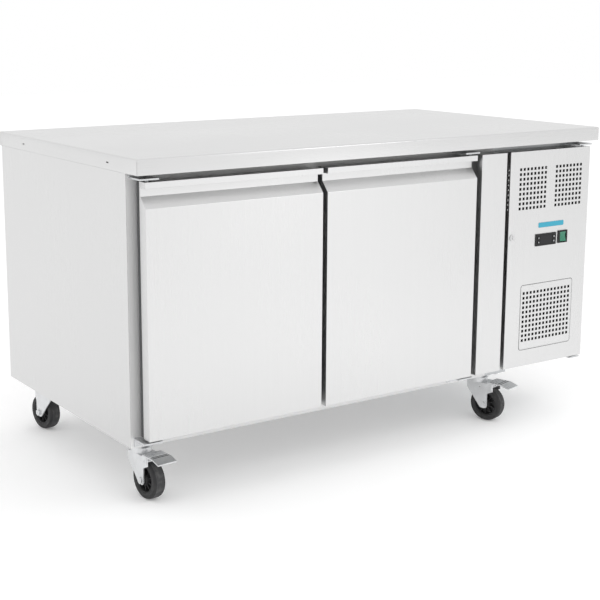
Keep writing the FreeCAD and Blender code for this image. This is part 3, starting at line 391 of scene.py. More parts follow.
def foam(name):
    """Cream polyurethane foam with open cells."""
    finish = Finish(name, (0.76, 0.66, 0.40), Roughness=0.92)
    pores = finish.cells(650, "Distance")
    cloud = finish.noise(14, 3.0)
    finish.shade(finish.spread(cloud, 0.84, 1.0))
    # Darker pore hollows: painted shade in the open cells.
    finish.shade(finish.spread(pores, 0.72, 1.0, 0.0, 0.5))
    finish.bump(pores, 0.4 * MM, 0.8)
    return finish.material


def filter_foam(name):
    """Black reticulated foam: deep irregular pores."""
    finish = Finish(name, (0.012, 0.012, 0.013), Roughness=0.95, Specular_IOR_Level=0.1)
    pores = finish.cells(520, "Distance")
    # Darker pore hollows: painted shade in the pores.
    finish.shade(finish.spread(pores, 0.3, 1.0, 0.0, 0.6))
    finish.bump(pores, 0.8 * MM, 0.9)
    return finish.material


def board(name):
    """Pressed wood board with a grey sealing coat: short tangled chips show through."""
    finish = Finish(name, (0.15, 0.145, 0.14), Roughness=0.85)
    chips = finish.cells((90, 260, 260))
    fibres = finish.noise((120, 900, 900), 3.0)
    finish.shade(finish.spread(chips, 0.7, 1.0, 0.0, 1.0))
    finish.shade(finish.spread(fibres, 0.85, 1.0))
    finish.bump(fibres, 0.2 * MM, 0.6)
    return finish.material


def coated_wire(name):
    """Pale plastic dipped over wire, a little uneven."""
    finish = Finish(name, (0.74, 0.745, 0.75), Coat_Weight=0.25, Coat_Roughness=0.2)
    runs = finish.noise(60, 2.0)
    finish.shade(finish.spread(runs, 0.93, 1.0))
    finish.rough(finish.spread(runs, 0.28, 0.42))
    finish.bump(runs, 0.15 * MM, 0.4)
    return finish.material


def smoked_window(name):
    """Dark glossy window of the display with a very faint dot mask behind it."""
    finish = Finish(name, (0.006, 0.006, 0.008), Specular_IOR_Level=0.25, Coat_Weight=0.25,
                    Coat_Roughness=0.04)
    smears = finish.noise(240, 3.0)
    mask = finish.cells(900, "Distance")
    finish.tint(finish.spread(mask, 0.35, 0.0, 0.0, 0.4), (0.03, 0.03, 0.034))
    finish.rough(finish.spread(smears, 0.06, 0.18))
    return finish.material


def lit_plastic(name):
    """Clear green plastic of a lighted rocker."""
    finish = Finish(name, (0.010, 0.20, 0.115), Transmission_Weight=0.12, Coat_Weight=0.4,
                    Coat_Roughness=0.08, Emission_Strength=0.04)
    finish.shader.inputs["Emission Color"].default_value = (0.02, 0.75, 0.32, 1.0)
    depth = finish.noise(210, 2.0)
    finish.shade(finish.spread(depth, 0.7, 1.0))
    finish.rough(finish.spread(depth, 0.12, 0.25))
    return finish.material


def printed(name, colour):
    """Screen-printed ink, slightly uneven."""
    finish = Finish(name, colour)
    ink = finish.noise(1100, 2.0)
    finish.shade(finish.spread(ink, 0.88, 1.0))
    finish.rough(finish.spread(ink, 0.34, 0.5))
    return finish.material


STEEL_UP = brushed_steel("stainless_brushed_upright", "z")
STEEL_ACROSS = brushed_steel("stainless_brushed_across", "x", rough=(0.25, 0.37))
# Front frame steel: a lighter, mostly diffuse copy of the brushed stainless; its higher base colour and
# diffuse part paint in light that falls on the frame strip (painted light).
LIGHTENED_FRAME_STEEL = brushed_steel("stainless_matt_lightened", "z", (0.80, 0.80, 0.80), (0.42, 0.55), metallic=0.25)
# Liner steel: a lighter, part-diffuse copy of the brushed stainless that paints light into the cabinet's
# inside, which is otherwise dark (painted light).
LIGHTENED_LINER_STEEL = brushed_steel("liner_brushed_lightened", "z", (0.82, 0.82, 0.815), (0.38, 0.52), metallic=0.6)
GALVANISED = galvanised("galvanised_sheet")
ZINC = zinc("zinc_plate")
HINGE_STEEL = zinc("hinge_plate_steel", (0.68, 0.69, 0.70), (0.24, 0.40))
CHROME = polished("lock_plating", (0.66, 0.66, 0.665))
COPPER = copper("copper_tube")
FINS = fin_stock("fin_aluminium")
FOAM = foam("polyurethane_foam")
BOARD = board("pressed_board")
SEAL_RUBBER = rubber("door_seal_rubber", (0.075, 0.077, 0.08), dusty=0.1)
MOUNT_RUBBER = rubber("mount_rubber", (0.03, 0.03, 0.03))
TYRE_RUBBER = rubber("tyre_rubber", (0.016, 0.016, 0.017), (0.5, 0.7), dusty=0.12)
TREAD_RUBBER = rubber("tread_rubber", (0.045, 0.045, 0.047), (0.7, 0.9), dusty=0.45)
HUB_PLASTIC = moulded("hub_plastic", (0.022, 0.022, 0.023))
BLACK_PLASTIC = moulded("black_plastic", (0.014, 0.014, 0.015))
BUTTON_PLASTIC = moulded("button_plastic", (0.03, 0.03, 0.032), (0.22, 0.34))
FILTER_FOAM = filter_foam("filter_foam")
FAN_PLASTIC = moulded("fan_plastic", (0.02, 0.02, 0.021), (0.3, 0.45), 900)
GREY_PLASTIC = moulded("grey_plastic", (0.36, 0.37, 0.38))
WINDOW = smoked_window("display_window")
GREEN = lit_plastic("rocker_green")
POT_BLACK = painted("compressor_enamel", (0.014, 0.014, 0.015))
COATED_WIRE = coated_wire("shelf_coating")
PALE_INK = printed("pale_ink", (0.72, 0.74, 0.75))
TEAL_INK = printed("teal_ink", (0.035, 0.36, 0.50))

NODE_FINISH = {
    "worktop_core": BOARD, "outer_casing": STEEL_UP, "inner_liner": LIGHTENED_LINER_STEEL, "insulation": FOAM,
    "front_frame": LIGHTENED_FRAME_STEEL, "filler_strip": STEEL_UP, "machine_panel": STEEL_UP, "side_cover": STEEL_UP,
    "rear_cover": GALVANISED, "machine_base": GALVANISED, "bay_top_rail": GALVANISED,
    "door_left_skin": STEEL_UP, "door_right_skin": STEEL_UP, "door_left_foam": FOAM, "door_right_foam": FOAM,
    "door_left_liner": LIGHTENED_LINER_STEEL, "door_right_liner": LIGHTENED_LINER_STEEL, "door_left_hinges": HINGE_STEEL,
    "door_right_hinges": HINGE_STEEL, "panel_hinges": HINGE_STEEL, "lock_barrel": CHROME,
    "controller_housing": BLACK_PLASTIC, "controller_display": WINDOW, "switch_bezel": BLACK_PLASTIC,
    "button_up": BUTTON_PLASTIC, "button_down": BUTTON_PLASTIC, "button_set": BUTTON_PLASTIC,
    "button_standby": BUTTON_PLASTIC, "condenser_fan_shroud": GALVANISED, "condenser_fan_motor": POT_BLACK,
    "compressor": POT_BLACK, "compressor_mounts": MOUNT_RUBBER, "refrigerant_pipes": COPPER,
    "evaporator_cover": LIGHTENED_LINER_STEEL, "evaporator_fan_motor": FAN_PLASTIC, "shelf_left": COATED_WIRE,
    "shelf_right": COATED_WIRE, "shelf_supports": LIGHTENED_LINER_STEEL, "mains_inlet": BLACK_PLASTIC,
    "caster_plates": ZINC,
}


def finish_cad_nodes():
    """Give every CAD node that stays its finish, by its material slots."""
    for name, thing in frame["nodes"].items():
        if name.endswith(("_fork", "_pedal")):
            finish = ZINC
        else:
            finish = NODE_FINISH.get(name, STEEL_UP)
        for index in range(max(1, len(thing.material_slots))):
            if not thing.material_slots:
                thing.data.materials.append(finish)
            thing.material_slots[index].material = finish


SOFT_EDGES = {
    "door_left_skin": 0.9, "door_right_skin": 0.9, "filler_strip": 0.6, "controller_housing": 1.0,
    "switch_bezel": 0.9, "button_up": 0.4, "button_down": 0.4, "button_set": 0.4, "button_standby": 0.4,
    "lock_barrel": 0.3, "door_left_hinges": 0.5, "door_right_hinges": 0.5, "panel_hinges": 0.5,
    "mains_inlet": 0.6, "caster_plates": 0.5, "door_left_liner": 2.5, "door_right_liner": 2.5,
    "condenser_fan_motor": 0.6, "evaporator_fan_motor": 0.6,
}


def soften_cad_edges():
    """Round the sharp edges of bent and moulded CAD nodes; widths are in millimetres."""
    for name, thing in frame["nodes"].items():
        width = SOFT_EDGES.get(name, 0.45 if name.endswith(("_fork", "_pedal")) else None)
        if width is None:
            continue
        weld = thing.modifiers.new("joined_corners", "WELD")
        weld.merge_threshold = 0.005 * MM
        bevelled(thing, width * MM, 2, 32).modifiers["rounded_edges"].harden_normals = True


# ---- studio ----

def make_camera():
    """A camera a little above the worktop, in front and to the left."""
    data = bpy.data.cameras.new("photo_camera")
    camera = bpy.data.objects.new("photo_camera", data)
    bpy.context.scene.collection.objects.link(camera)
    camera.location = (-2.086, -2.9654, 1.1807)
    yaw, pitch = math.radians(33.3), math.radians(11.25)
    aim = Vector((math.sin(yaw) * math.cos(pitch), math.cos(yaw) * math.cos(pitch), -math.sin(pitch)))
    camera.rotation_euler = aim.to_track_quat("-Z", "Y").to_euler()
    data.lens = 76.65
    data.shift_x = 0.06
    data.shift_y = -0.06
    bpy.context.scene.camera = camera


def make_world():
    """An even white surround."""
    world = bpy.data.worlds.new("white_studio")
    bpy.context.scene.world = world
    world.use_nodes = True
    world.node_tree.nodes["Background"].inputs["Color"].default_value = (1.0, 1.0, 1.0, 1.0)
    world.node_tree.nodes["Background"].inputs["Strength"].default_value = 1.0
    bpy.context.scene.view_settings.view_transform = "Standard"


def soft_light(name, place, target, wide, tall, power):
    data = bpy.data.lights.new(name, "AREA")
    data.shape = "RECTANGLE"
    data.size = wide
    data.size_y = tall
    data.energy = power
    light = bpy.data.objects.new(name, data)
    bpy.context.scene.collection.objects.link(light)
    light.location = place
    light.rotation_euler = (Vector(target) - Vector(place)).to_track_quat("-Z", "Y").to_euler()


def make_floor():
    mesh = bmesh.new()
    reach = 14.0
    corners = [mesh.verts.new((x * reach, y * reach, -0.0005))
               for x, y in ((-1, -1), (1, -1), (1, 1), (-1, 1))]
    mesh.faces.new(corners)
    data = bpy.data.meshes.new("floor")
    mesh.to_mesh(data)
    mesh.free()
    floor = bpy.data.objects.new("floor", data)
    bpy.context.scene.collection.objects.link(floor)
    finish = Finish("pale_floor", (0.93, 0.93, 0.93), Roughness=0.9, Emission_Strength=0.16)
    finish.shader.inputs["Emission Color"].default_value = (1.0, 1.0, 1.0, 1.0)
    finish.shade(finish.spread(finish.noise(1.2, 2.0), 0.99, 1.0))
    data.materials.append(finish.material)


# ---- worktop: folded sheet with open corner seams and two slots in its left skirt ----

def box_cutter(low, high):
    mesh = bmesh.new()
    add_box(mesh, low, high)
    data = bpy.data.meshes.new("cutter")
    bmesh.ops.recalc_face_normals(mesh, faces=mesh.faces)
    mesh.to_mesh(data)
    mesh.free()
    return bpy.data.objects.new("cutter", data)


def applied(thing):
    """Replace a piece's mesh by what its modifiers make of it."""
    view = bpy.context.evaluated_depsgraph_get()
    view.update()
    made = bpy.data.meshes.new_from_object(thing.evaluated_get(view))
    thing.modifiers.clear()
    thing.data = made
    return thing


def carve(thing, boxes):
    """Cut every box out of a piece."""
    cutters = bpy.data.collections.new("cutters")
    bpy.context.scene.collection.children.link(cutters)
    for low, high in boxes:
        cutters.objects.link(box_cutter(low, high))
    cut = thing.modifiers.new("carved", "BOOLEAN")
    cut.operand_type = "COLLECTION"
    cut.collection = cutters
    cut.solver = "EXACT"
    applied(thing)
    for cutter in list(cutters.objects):
        bpy.data.objects.remove(cutter)
    bpy.data.collections.remove(cutters)
    return thing


def fold_rings(low, high, radius, steps):
    """Corner rings of a box whose upper edges are rounded: from the skirt's foot up over the fold."""
    levels = [(low.z, 0.0)]
    for step in range(steps + 1):
        angle = math.pi / 2 * step / steps
        levels.append((high.z - radius + radius * math.sin(angle), radius - radius * math.cos(angle)))
    return levels


def make_worktop():
    low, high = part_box("worktop")
    sheet, fold, corner = 1.5 * MM, 4 * MM, 2 * MM
    mesh = bmesh.new()
    rings = []
    for level, inset in fold_rings(low, high, fold, 5):
        ring = []
        for across, deep, start in ((1, 1, 0), (-1, 1, 1), (-1, -1, 2), (1, -1, 3)):
            x = (high.x if across > 0 else low.x) - across * (inset + corner)
            y = (high.y if deep > 0 else low.y) - deep * (inset + corner)
            for step in range(4):
                angle = math.pi / 2 * (start + step / 3)
                point = (x + corner * math.cos(angle), y + corner * math.sin(angle), level)
                ring.append(mesh.verts.new(point))
        rings.append(ring)
    bridge(mesh, rings)
    mesh.faces.new(rings[-1])
    top = piece("worktop_sheet", mesh, "cabinet", STEEL_ACROSS)
    thick = top.modifiers.new("sheet", "SOLIDIFY")
    thick.thickness = sheet
    thick.offset = -1.0
    applied(top)
    gap, skirt_top = 0.7 * MM, high.z - fold - 1 * MM
    seams = []
    for x, outward_x in ((low.x, -1), (high.x, 1)):
        for y, outward_y in ((low.y, -1), (high.y, 1)):
            near, far = sorted((y - outward_y * 1.2 * MM, y - outward_y * (1.2 * MM + gap)))
            left, right = sorted((x + outward_x * MM, x - outward_x * 2.4 * MM))
            seams.append(((left, near, low.z - MM), (right, far, skirt_top)))
    middle = (low.z + high.z) / 2 - 2 * MM
    for y in (-0.26, 0.24):
        seams.append(((low.x - MM, y - 6 * MM, middle - 1.6 * MM),
                      (low.x + 3 * MM, y + 6 * MM, middle + 1.6 * MM)))
    carve(top, seams)
    smooth_by_angle(top)
    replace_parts(top, "worktop")
    return top


def make_worktop_shadow_bead():
    """The dark sealant bead between the worktop's skirt and the cabinet below it, laid there to paint the
    shadow line along that joint.
    """
    low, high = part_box("outer_casing")
    top_low, top_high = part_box("worktop")
    mesh = bmesh.new()
    bead = 1.9 * MM
    line = (top_low.x + 0.6 * MM, top_high.y - 0.9 * MM, high.z)
    corners = [(low.x - 0.4 * MM, low.y, line[2]), (low.x - 0.4 * MM, high.y + 0.4 * MM, line[2]),
               (high.x, high.y + 0.4 * MM, line[2])]
    add_tube(mesh, corners, bead * 0.5, 12)
    # Dark bead: painted shadow line under the worktop's skirt.
    return smooth_by_angle(piece("worktop_shadow_bead", mesh, "cabinet", SEAL_RUBBER))


# ---- door seals ----

def mitred_ring(name, low, high, profile, body, finish):
    """Sweep a closed profile of (inset, depth) points round a door's edge, with mitred corners."""
    mesh = bmesh.new()
    rings = []
    for x, z, inward_x, inward_z in ((low.x, low.z, 1, 1), (high.x, low.z, -1, 1), (high.x, high.z, -1, -1),
                                     (low.x, high.z, 1, -1)):
        rings.append([mesh.verts.new((x + inward_x * inset, low.y + depth, z + inward_z * inset))
                      for inset, depth in profile])
    bridge(mesh, rings, closed=True)
    return smooth_by_angle(piece(name, mesh, body, finish), 50)


def arc(centre, radius, start, end, steps):
    """Points of an arc, in degrees."""
    points = []
    for step in range(steps + 1):
        angle = math.radians(start + (end - start) * step / steps)
        points.append((centre[0] + radius * math.cos(angle), centre[1] + radius * math.sin(angle)))
    return points


def make_door_seal(side):
    """Edge profile and hollow magnetic seal: a bellows with a flat magnet pocket that meets the frame."""
    low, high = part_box(f"door_{side}_gasket")
    rib = low.y + 20 * MM
    depth = high.y - low.y
    edge, deep, inset = 14 * MM, 17 * MM, 0.0
    profile = [(inset, 0.0), (edge, 0.0), (edge, deep + 2.8 * MM), (edge - 3 * MM, deep + 2.8 * MM)]
    profile += [(edge - 4 * MM, deep), (inset + 1.6 * MM, deep)]
    profile += arc((inset + 1.6 * MM, deep - 1.6 * MM), 1.6 * MM, 90, 180, 4)
    profile += [(inset, 7.2 * MM), (inset + 0.9 * MM, 6.6 * MM), (inset + 0.9 * MM, 4.8 * MM),
                (inset, 4.2 * MM)]
    mitred_ring(f"door_{side}_edge_profile", low, high, profile, f"door_{side}", SEAL_RUBBER)
    foot, face = rib - low.y, depth
    seal = [(14.6 * MM, foot + 0.1 * MM), (31 * MM, foot + 0.1 * MM)]
    seal += arc((30 * MM, foot + 2.2 * MM), 1.9 * MM, -60, 80, 5)
    seal += arc((30 * MM, foot + 5.6 * MM), 1.3 * MM, -90, -230, 4)
    seal += [(29.4 * MM, face - 1.2 * MM), (28.6 * MM, face - 0.3 * MM), (27.6 * MM, face)]
    seal += [(18.0 * MM, face), (17.0 * MM, face - 0.3 * MM), (16.2 * MM, face - 1.2 * MM)]
    seal += arc((15.4 * MM, foot + 5.6 * MM), 1.3 * MM, 50, -90, 4)
    seal += arc((15.4 * MM, foot + 2.2 * MM), 1.9 * MM, 100, 230, 5)
    ring = mitred_ring(f"door_{side}_seal", low, high, seal, f"door_{side}", SEAL_RUBBER)
    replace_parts(ring, f"door_{side}_gasket")


# ---- wheels, brakes and caster heads ----

def make_wheel(where):
    """Solid rubber tyre with a worn tread band, on a ribbed plastic centre with a bearing hub."""
    body = f"caster_{where}_wheel"
    matrix = turned_frame(f"caster_{where}_wheel_roll")
    radius, half, hub = 50 * MM, 17 * MM, 19 * MM
    tread = 10.5 * MM
    mesh = bmesh.new()
    shoulder = arc((half - 5 * MM, radius - 6 * MM), 5 * MM, 0, 62, 5)
    right = [(tread, radius - 0.15 * MM), (tread + 0.5 * MM, radius - 0.7 * MM),
             (tread + 0.9 * MM, radius - 0.9 * MM)]
    right += list(reversed(shoulder))
    right += [(half, radius - 10 * MM), (half - 0.8 * MM, 35.5 * MM), (half - 2.4 * MM, 34 * MM)]
    left = [(-along, out) for along, out in reversed(right)]
    crown = [(tread * step / 4, radius - 0.15 * MM * (step / 4) ** 2) for step in range(-3, 4)]
    lathe(mesh, left + crown + right, matrix, 96)
    for face in mesh.faces:
        centre = matrix.inverted() @ face.calc_center_median()
        if abs(centre.x) < tread and math.hypot(centre.y, centre.z) > radius - 2 * MM:
            face.material_index = 1
    tyre = piece(f"caster_{where}_tyre", mesh, body, [TYRE_RUBBER, TREAD_RUBBER])
    smooth_by_angle(tyre, 28)
    centre = bmesh.new()
    rim = [(-14.5 * MM, 34.1 * MM), (14.5 * MM, 34.1 * MM), (14.5 * MM, 31.5 * MM), (13 * MM, 30.4 * MM),
           (4.5 * MM, 29.6 * MM), (4.5 * MM, 16.5 * MM), (hub - 4 * MM, 14.5 * MM),
           (hub - 1.2 * MM, 13.2 * MM), (hub - 0.4 * MM, 12.4 * MM), (hub - 0.4 * MM, 5.1 * MM)]
    rim += [(-along, out) for along, out in reversed(rim[2:])]
    lathe(centre, rim, matrix, 64)
    spokes, spoke_half = 10, 1.2 * MM
    for number in range(spokes):
        turn = matrix @ Matrix.Rotation(math.tau * number / spokes, 4, "X")
        for side in (-1, 1):
            spoke = [(side * 4.3 * MM, 14.5 * MM), (side * 12.5 * MM, 14.5 * MM),
                     (side * 10.5 * MM, 30.2 * MM), (side * 4.3 * MM, 30.2 * MM)]
            loops = [[centre.verts.new(turn @ Vector((along, across, out))) for along, out in spoke]
                     for across in (-spoke_half, spoke_half)]
            bridge_solid(centre, loops)
    middle = smooth_by_angle(piece(f"caster_{where}_wheel_centre", centre, body, HUB_PLASTIC))
    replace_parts(tyre, f"caster_{where}_wheel")
    return middle


def make_pedal_dark_bars(where):
    """Dark bars between the ribs of a brake pedal, darker than the ribs; the pedal's pin is the X axis of the
    frame.
    """
    matrix = turned_frame(f"caster_{where}_pedal_press")
    mesh = bmesh.new()
    tread_top, half_width, rib_step = 17 * MM, 22.5 * MM, 8 * MM
    for number in range(5):
        across = -1.6 * MM - number * rib_step
        add_bar(mesh, matrix, -half_width, half_width, across, 2.2 * MM, tread_top, 0.7 * MM)
    return piece(f"caster_{where}_pedal_dark_bars", mesh, f"caster_{where}_pedal", HUB_PLASTIC)


def add_bar(mesh, matrix, left, right, across, wide, foot, tall):
    """A low bar with sloping sides, lying along the matrix's X axis."""
    slope = 0.7 * MM
    section = [(-wide / 2, foot), (wide / 2, foot), (wide / 2 - slope, foot + tall),
               (-wide / 2 + slope, foot + tall)]
    loops = [[mesh.verts.new(matrix @ Vector((along, across + y, z))) for y, z in section]
             for along in (left, right)]
    bridge_solid(mesh, loops)


# ---- coils ----

def turn_points(centre, radius, along, sign, steps=8):
    """Points of a half circle that joins two neighbouring tubes, bulging along one axis."""
    points = []
    for step in range(steps + 1):
        angle = math.pi * step / steps
        point = list(centre)
        point[along] += sign * radius * 0.9 * math.sin(angle)
        point[2] -= radius * math.cos(angle)
        points.append(point)
    return points


def make_coil(name, node, along, fin_step, tube_step):
    """Finned coil: thin fins across a serpentine of copper tube, between two flanged end plates."""
    low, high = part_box(node)
    across = 1 - along
    bend = 13 * MM
    tube_radius = 4.2 * MM
    fins = bmesh.new()
    start, end = low[along] + bend, high[along] - bend
    count = int((end - start) / fin_step)
    for number in range(1, count):
        at = start + number * (end - start) / count
        corner, opposite = list(low), list(high)
        corner[along], opposite[along] = at - 0.4 * MM, at + 0.4 * MM
        corner[across] += 1.5 * MM
        opposite[across] -= 1.5 * MM
        corner[2] += 3 * MM
        opposite[2] -= 3 * MM
        add_box(fins, corner, opposite)
    for at, sign in ((start, 1), (end, -1)):
        corner, opposite = list(low), list(high)
        corner[along], opposite[along] = sorted((at, at - sign * 1.4 * MM))
        add_box(fins, corner, opposite, 1)
        for level in (low[2], high[2] - 1.4 * MM):
            corner, opposite = list(low), list(high)
            corner[along], opposite[along] = sorted((at, at - sign * 9 * MM))
            corner[2], opposite[2] = level, level + 1.4 * MM
            add_box(fins, corner, opposite, 1)
    core = piece(f"{name}_fins", fins, "cabinet", [FINS, GALVANISED])
    tubes = bmesh.new()
    rows = max(2, round((high[across] - low[across]) / (22 * MM)))
    layers = int((high[2] - low[2] - 2 * tube_step * 0.6) / tube_step)
    for row in range(rows):
        place = low[across] + (row + 0.5) * (high[across] - low[across]) / rows
        route = []
        for layer in range(layers + 1):
            level = low[2] + (high[2] - low[2] - layers * tube_step) / 2 + layer * tube_step
            ends = [start - 3 * MM, end + 3 * MM]
            if layer % 2:
                ends.reverse()
            for at in ends:
                point = [0.0, 0.0, level]
                point[along], point[across] = at, place
                route.append(point)
            if layer < layers:
                centre = [0.0, 0.0, level + tube_step / 2]
                centre[along], centre[across] = ends[1], place
                route += turn_points(centre, tube_step / 2, along, 1 if layer % 2 == 0 else -1)[1:-1]
        add_tube(tubes, route, tube_radius, 8)
    piece(f"{name}_tubes", tubes, "cabinet", COPPER)
    smooth_by_angle(bpy.data.objects[f"{name}_tubes"], 60)
    return core


# ---- fans ----

def make_fan(name, node, body, joint, blades, root_pitch, tip_pitch):
    """Moulded fan: twisted, swept blades on a domed hub."""
    low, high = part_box(node)
    matrix = turned_frame(joint)
    spin = max(range(3), key=lambda axis: abs(matrix.col[0][axis]))
    radius = max((high - low)[axis] for axis in range(3) if axis != spin) / 2 - 1 * MM
    middle = (low + high) / 2
    matrix.translation = middle
    deep = (high - low)[spin]
    hub = 28 * MM
    mesh = bmesh.new()
    half = deep / 2
    profile = [(-half, 5 * MM), (-half, hub * 0.55)] + arc((-half + 5 * MM, hub - 5 * MM), 5 * MM, 180, 90, 4)
    profile += [(half - 2 * MM, hub), (half, hub - 2 * MM), (half, hub - 5 * MM),
                (half - 6 * MM, hub - 6 * MM), (half - 6 * MM, 9 * MM), (half, 8 * MM), (half, 5 * MM)]
    lathe(mesh, profile, matrix, 48)
    spans, chords, thick = 9, 8, 1.7 * MM
    for number in range(blades):
        turn = matrix @ Matrix.Rotation(math.tau * number / blades, 4, "X")
        skins = []
        for side in (-0.5, 0.5):
            grid = []
            for i in range(spans + 1):
                share = i / spans
                reach = hub - 2 * MM + share * (radius - hub + 2 * MM)
                pitch = math.radians(root_pitch + (tip_pitch - root_pitch) * share)
                chord = (0.62 + 0.38 * math.sin(math.pi * min(1.0, share + 0.25))) * 0.58 * radius
                sweep = 0.10 * share * share
                row = []
                for j in range(chords + 1):
                    place = j / chords - 0.5
                    camber = 0.07 * chord * (1 - 4 * place * place)
                    edge = thick * side * (1 - 3.2 * place ** 4 * 4) if abs(place) > 0.45 else thick * side
                    along = place * chord * math.sin(pitch) + (camber + edge) * math.cos(pitch)
                    turned = place * chord * math.cos(pitch) - (camber + edge) * math.sin(pitch)
                    angle = turned / reach + sweep
                    along = max(-half + 0.5 * MM, min(half - 0.5 * MM, along))
                    point = Vector((along, reach * math.sin(angle), reach * math.cos(angle)))
                    row.append(mesh.verts.new(turn @ point))
                grid.append(row)
            skins.append(grid)
        for grid in skins:
            for i in range(spans):
                for j in range(chords):
                    mesh.faces.new((grid[i][j], grid[i + 1][j], grid[i + 1][j + 1], grid[i][j + 1]))
        lower, upper = skins
        rim_low = lower[-1] + [row[-1] for row in reversed(lower[:-1])] + list(reversed(lower[0][:-1]))
        rim_low += [row[0] for row in lower[1:-1]]
        rim_high = upper[-1] + [row[-1] for row in reversed(upper[:-1])] + list(reversed(upper[0][:-1]))
        rim_high += [row[0] for row in upper[1:-1]]
        bridge(mesh, [rim_low, rim_high])
    fan = smooth_by_angle(piece(name, mesh, body, FAN_PLASTIC), 40)
    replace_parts(fan, node)
    return fan


def make_blower_guard():
    """Wire guard with rings and spokes over the cooler's fan mouth."""
    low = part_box("evaporator_cover")[0]
    hub = turned_frame("evaporator_fan_spin").translation
    mesh = bmesh.new()
    plane = low.x - 2.4 * MM
    wire = 1.1 * MM
    reach = 82 * MM
    for radius in [18 * MM + number * 8 * MM for number in range(9)]:
        ring = []
        for step in range(64):
            angle = math.tau * step / 64
            ring.append((plane, hub.y + radius * math.cos(angle), hub.z + radius * math.sin(angle)))
        add_tube(mesh, ring + ring[:1], wire, 6)
    for number in range(6):
        angle = math.tau * number / 6 + 0.3
        points = [(plane - 2 * wire, hub.y + r * math.cos(angle), hub.z + r * math.sin(angle))
                  for r in (14 * MM, reach)]
        points.append((low.x - wire, hub.y + reach * math.cos(angle), hub.z + reach * math.sin(angle)))
        add_tube(mesh, points, wire, 6)
    return smooth_by_angle(piece("blower_guard", mesh, "cabinet", ZINC), 50)


# ---- screws and bolts ----

def islands(node):
    """The boxes of a CAD node's separate solids."""
    mesh = bmesh.new()
    mesh.from_mesh(frame["nodes"][node].data)
    bmesh.ops.remove_doubles(mesh, verts=mesh.verts, dist=1e-6)
    seen, boxes = set(), []
    for start in mesh.verts:
        if start in seen:
            continue
        seen.add(start)
        stack, found = [start], []
        while stack:
            point = stack.pop()
            found.append(point.co.copy())
            for edge in point.link_edges:
                other = edge.other_vert(point)
                if other not in seen:
                    seen.add(other)
                    stack.append(other)
        boxes.append((Vector([min(p[i] for p in found) for i in range(3)]),
                      Vector([max(p[i] for p in found) for i in range(3)])))
    mesh.free()
    return boxes


def facing(direction, place):
    """A matrix whose X axis points along direction from a place."""
    axis = Vector(direction).normalized()
    up = Vector((0, 0, 1)) if abs(axis.z) < 0.9 else Vector((0, 1, 0))
    side = up.cross(axis).normalized()
    matrix = Matrix((axis, side, axis.cross(side))).transposed().to_4x4()
    matrix.translation = Vector(place)
    return matrix


def add_screw(mesh, matrix, radius, proud):
    """A pan head with a cross recess; the matrix's X axis points out of the head."""
    rings = []
    steps, recess, arm = 40, 0.55, 0.16
    for share in (1.0, 0.97, 0.86, 0.7, recess, 0.4, 0.25, 0.12):
        ring = []
        for step in range(steps):
            angle = math.tau * step / steps
            across, up = share * math.cos(angle), share * math.sin(angle)
            rise = math.sqrt(max(0.0, 1 - share ** 2.6))
            if share < recess + 0.01 and min(abs(across), abs(up)) < arm:
                rise -= 0.45
            ring.append(mesh.verts.new(matrix @ Vector((proud * rise, radius * across, radius * up))))
        rings.append(ring)
    bridge(mesh, rings)
    mesh.faces.new(rings[-1])


def add_bolt(mesh, matrix, radius, tall):
    """A chamfered hexagon head on a round washer face."""
    washer = [(0.0, radius * 1.12), (tall * 0.16, radius * 1.12), (tall * 0.22, radius * 1.04)]
    lathe(mesh, washer, matrix, 36, capped=True)
    rings = []
    for along, size in ((tall * 0.2, 1.0), (tall * 0.86, 1.0), (tall, 0.88)):
        rings.append([mesh.verts.new(matrix @ Vector((along, size * radius * math.cos(math.tau * step / 6),
                                                      size * radius * math.sin(math.tau * step / 6))))
                      for step in range(6)])
    bridge(mesh, rings)
    mesh.faces.new(rings[-1])


def make_fasteners():
    """Hinge screws and caster bolts, where the CAD has their heads."""
    screws, bolts = bmesh.new(), bmesh.new()
    for low, high in islands("fasteners"):
        middle, size = (low + high) / 2, high - low
        if size.y < size.z * 0.6:
            add_screw(screws, facing((0, -1, 0), (middle.x, high.y, middle.z)), size.z / 2, size.y)
        else:
            add_bolt(bolts, facing((0, 0, -1), (middle.x, middle.y, high.z)), size.x / 2, size.z)
    heads = smooth_by_angle(piece("hinge_screws", screws, "cabinet", ZINC), 40)
    piece("caster_bolts", bolts, "cabinet", ZINC)
    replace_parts(heads, "fasteners")


def make_cover_screws():
    """Small screws round the edges of the rear and side covers."""
    mesh = bmesh.new()
    inset, radius, proud = 9 * MM, 4 * MM, 1.9 * MM
    low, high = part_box("rear_cover")
    for x in (low.x + inset, (low.x + high.x) / 2, high.x - inset):
        for z in (low.z + inset, high.z - inset):
            add_screw(mesh, facing((0, 1, 0), (x, high.y, z)), radius, proud)
    low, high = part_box("side_cover")
    for share in (0.02, 0.34, 0.66, 0.98):
        for z in (low.z + inset, high.z - inset):
            y = low.y + inset + share * (high.y - low.y - 2 * inset)
            add_screw(mesh, facing((1, 0, 0), (high.x, y, z)), radius, proud)
    return smooth_by_angle(piece("cover_screws", mesh, "cabinet", ZINC), 40)


# ---- the machine panel's small parts ----

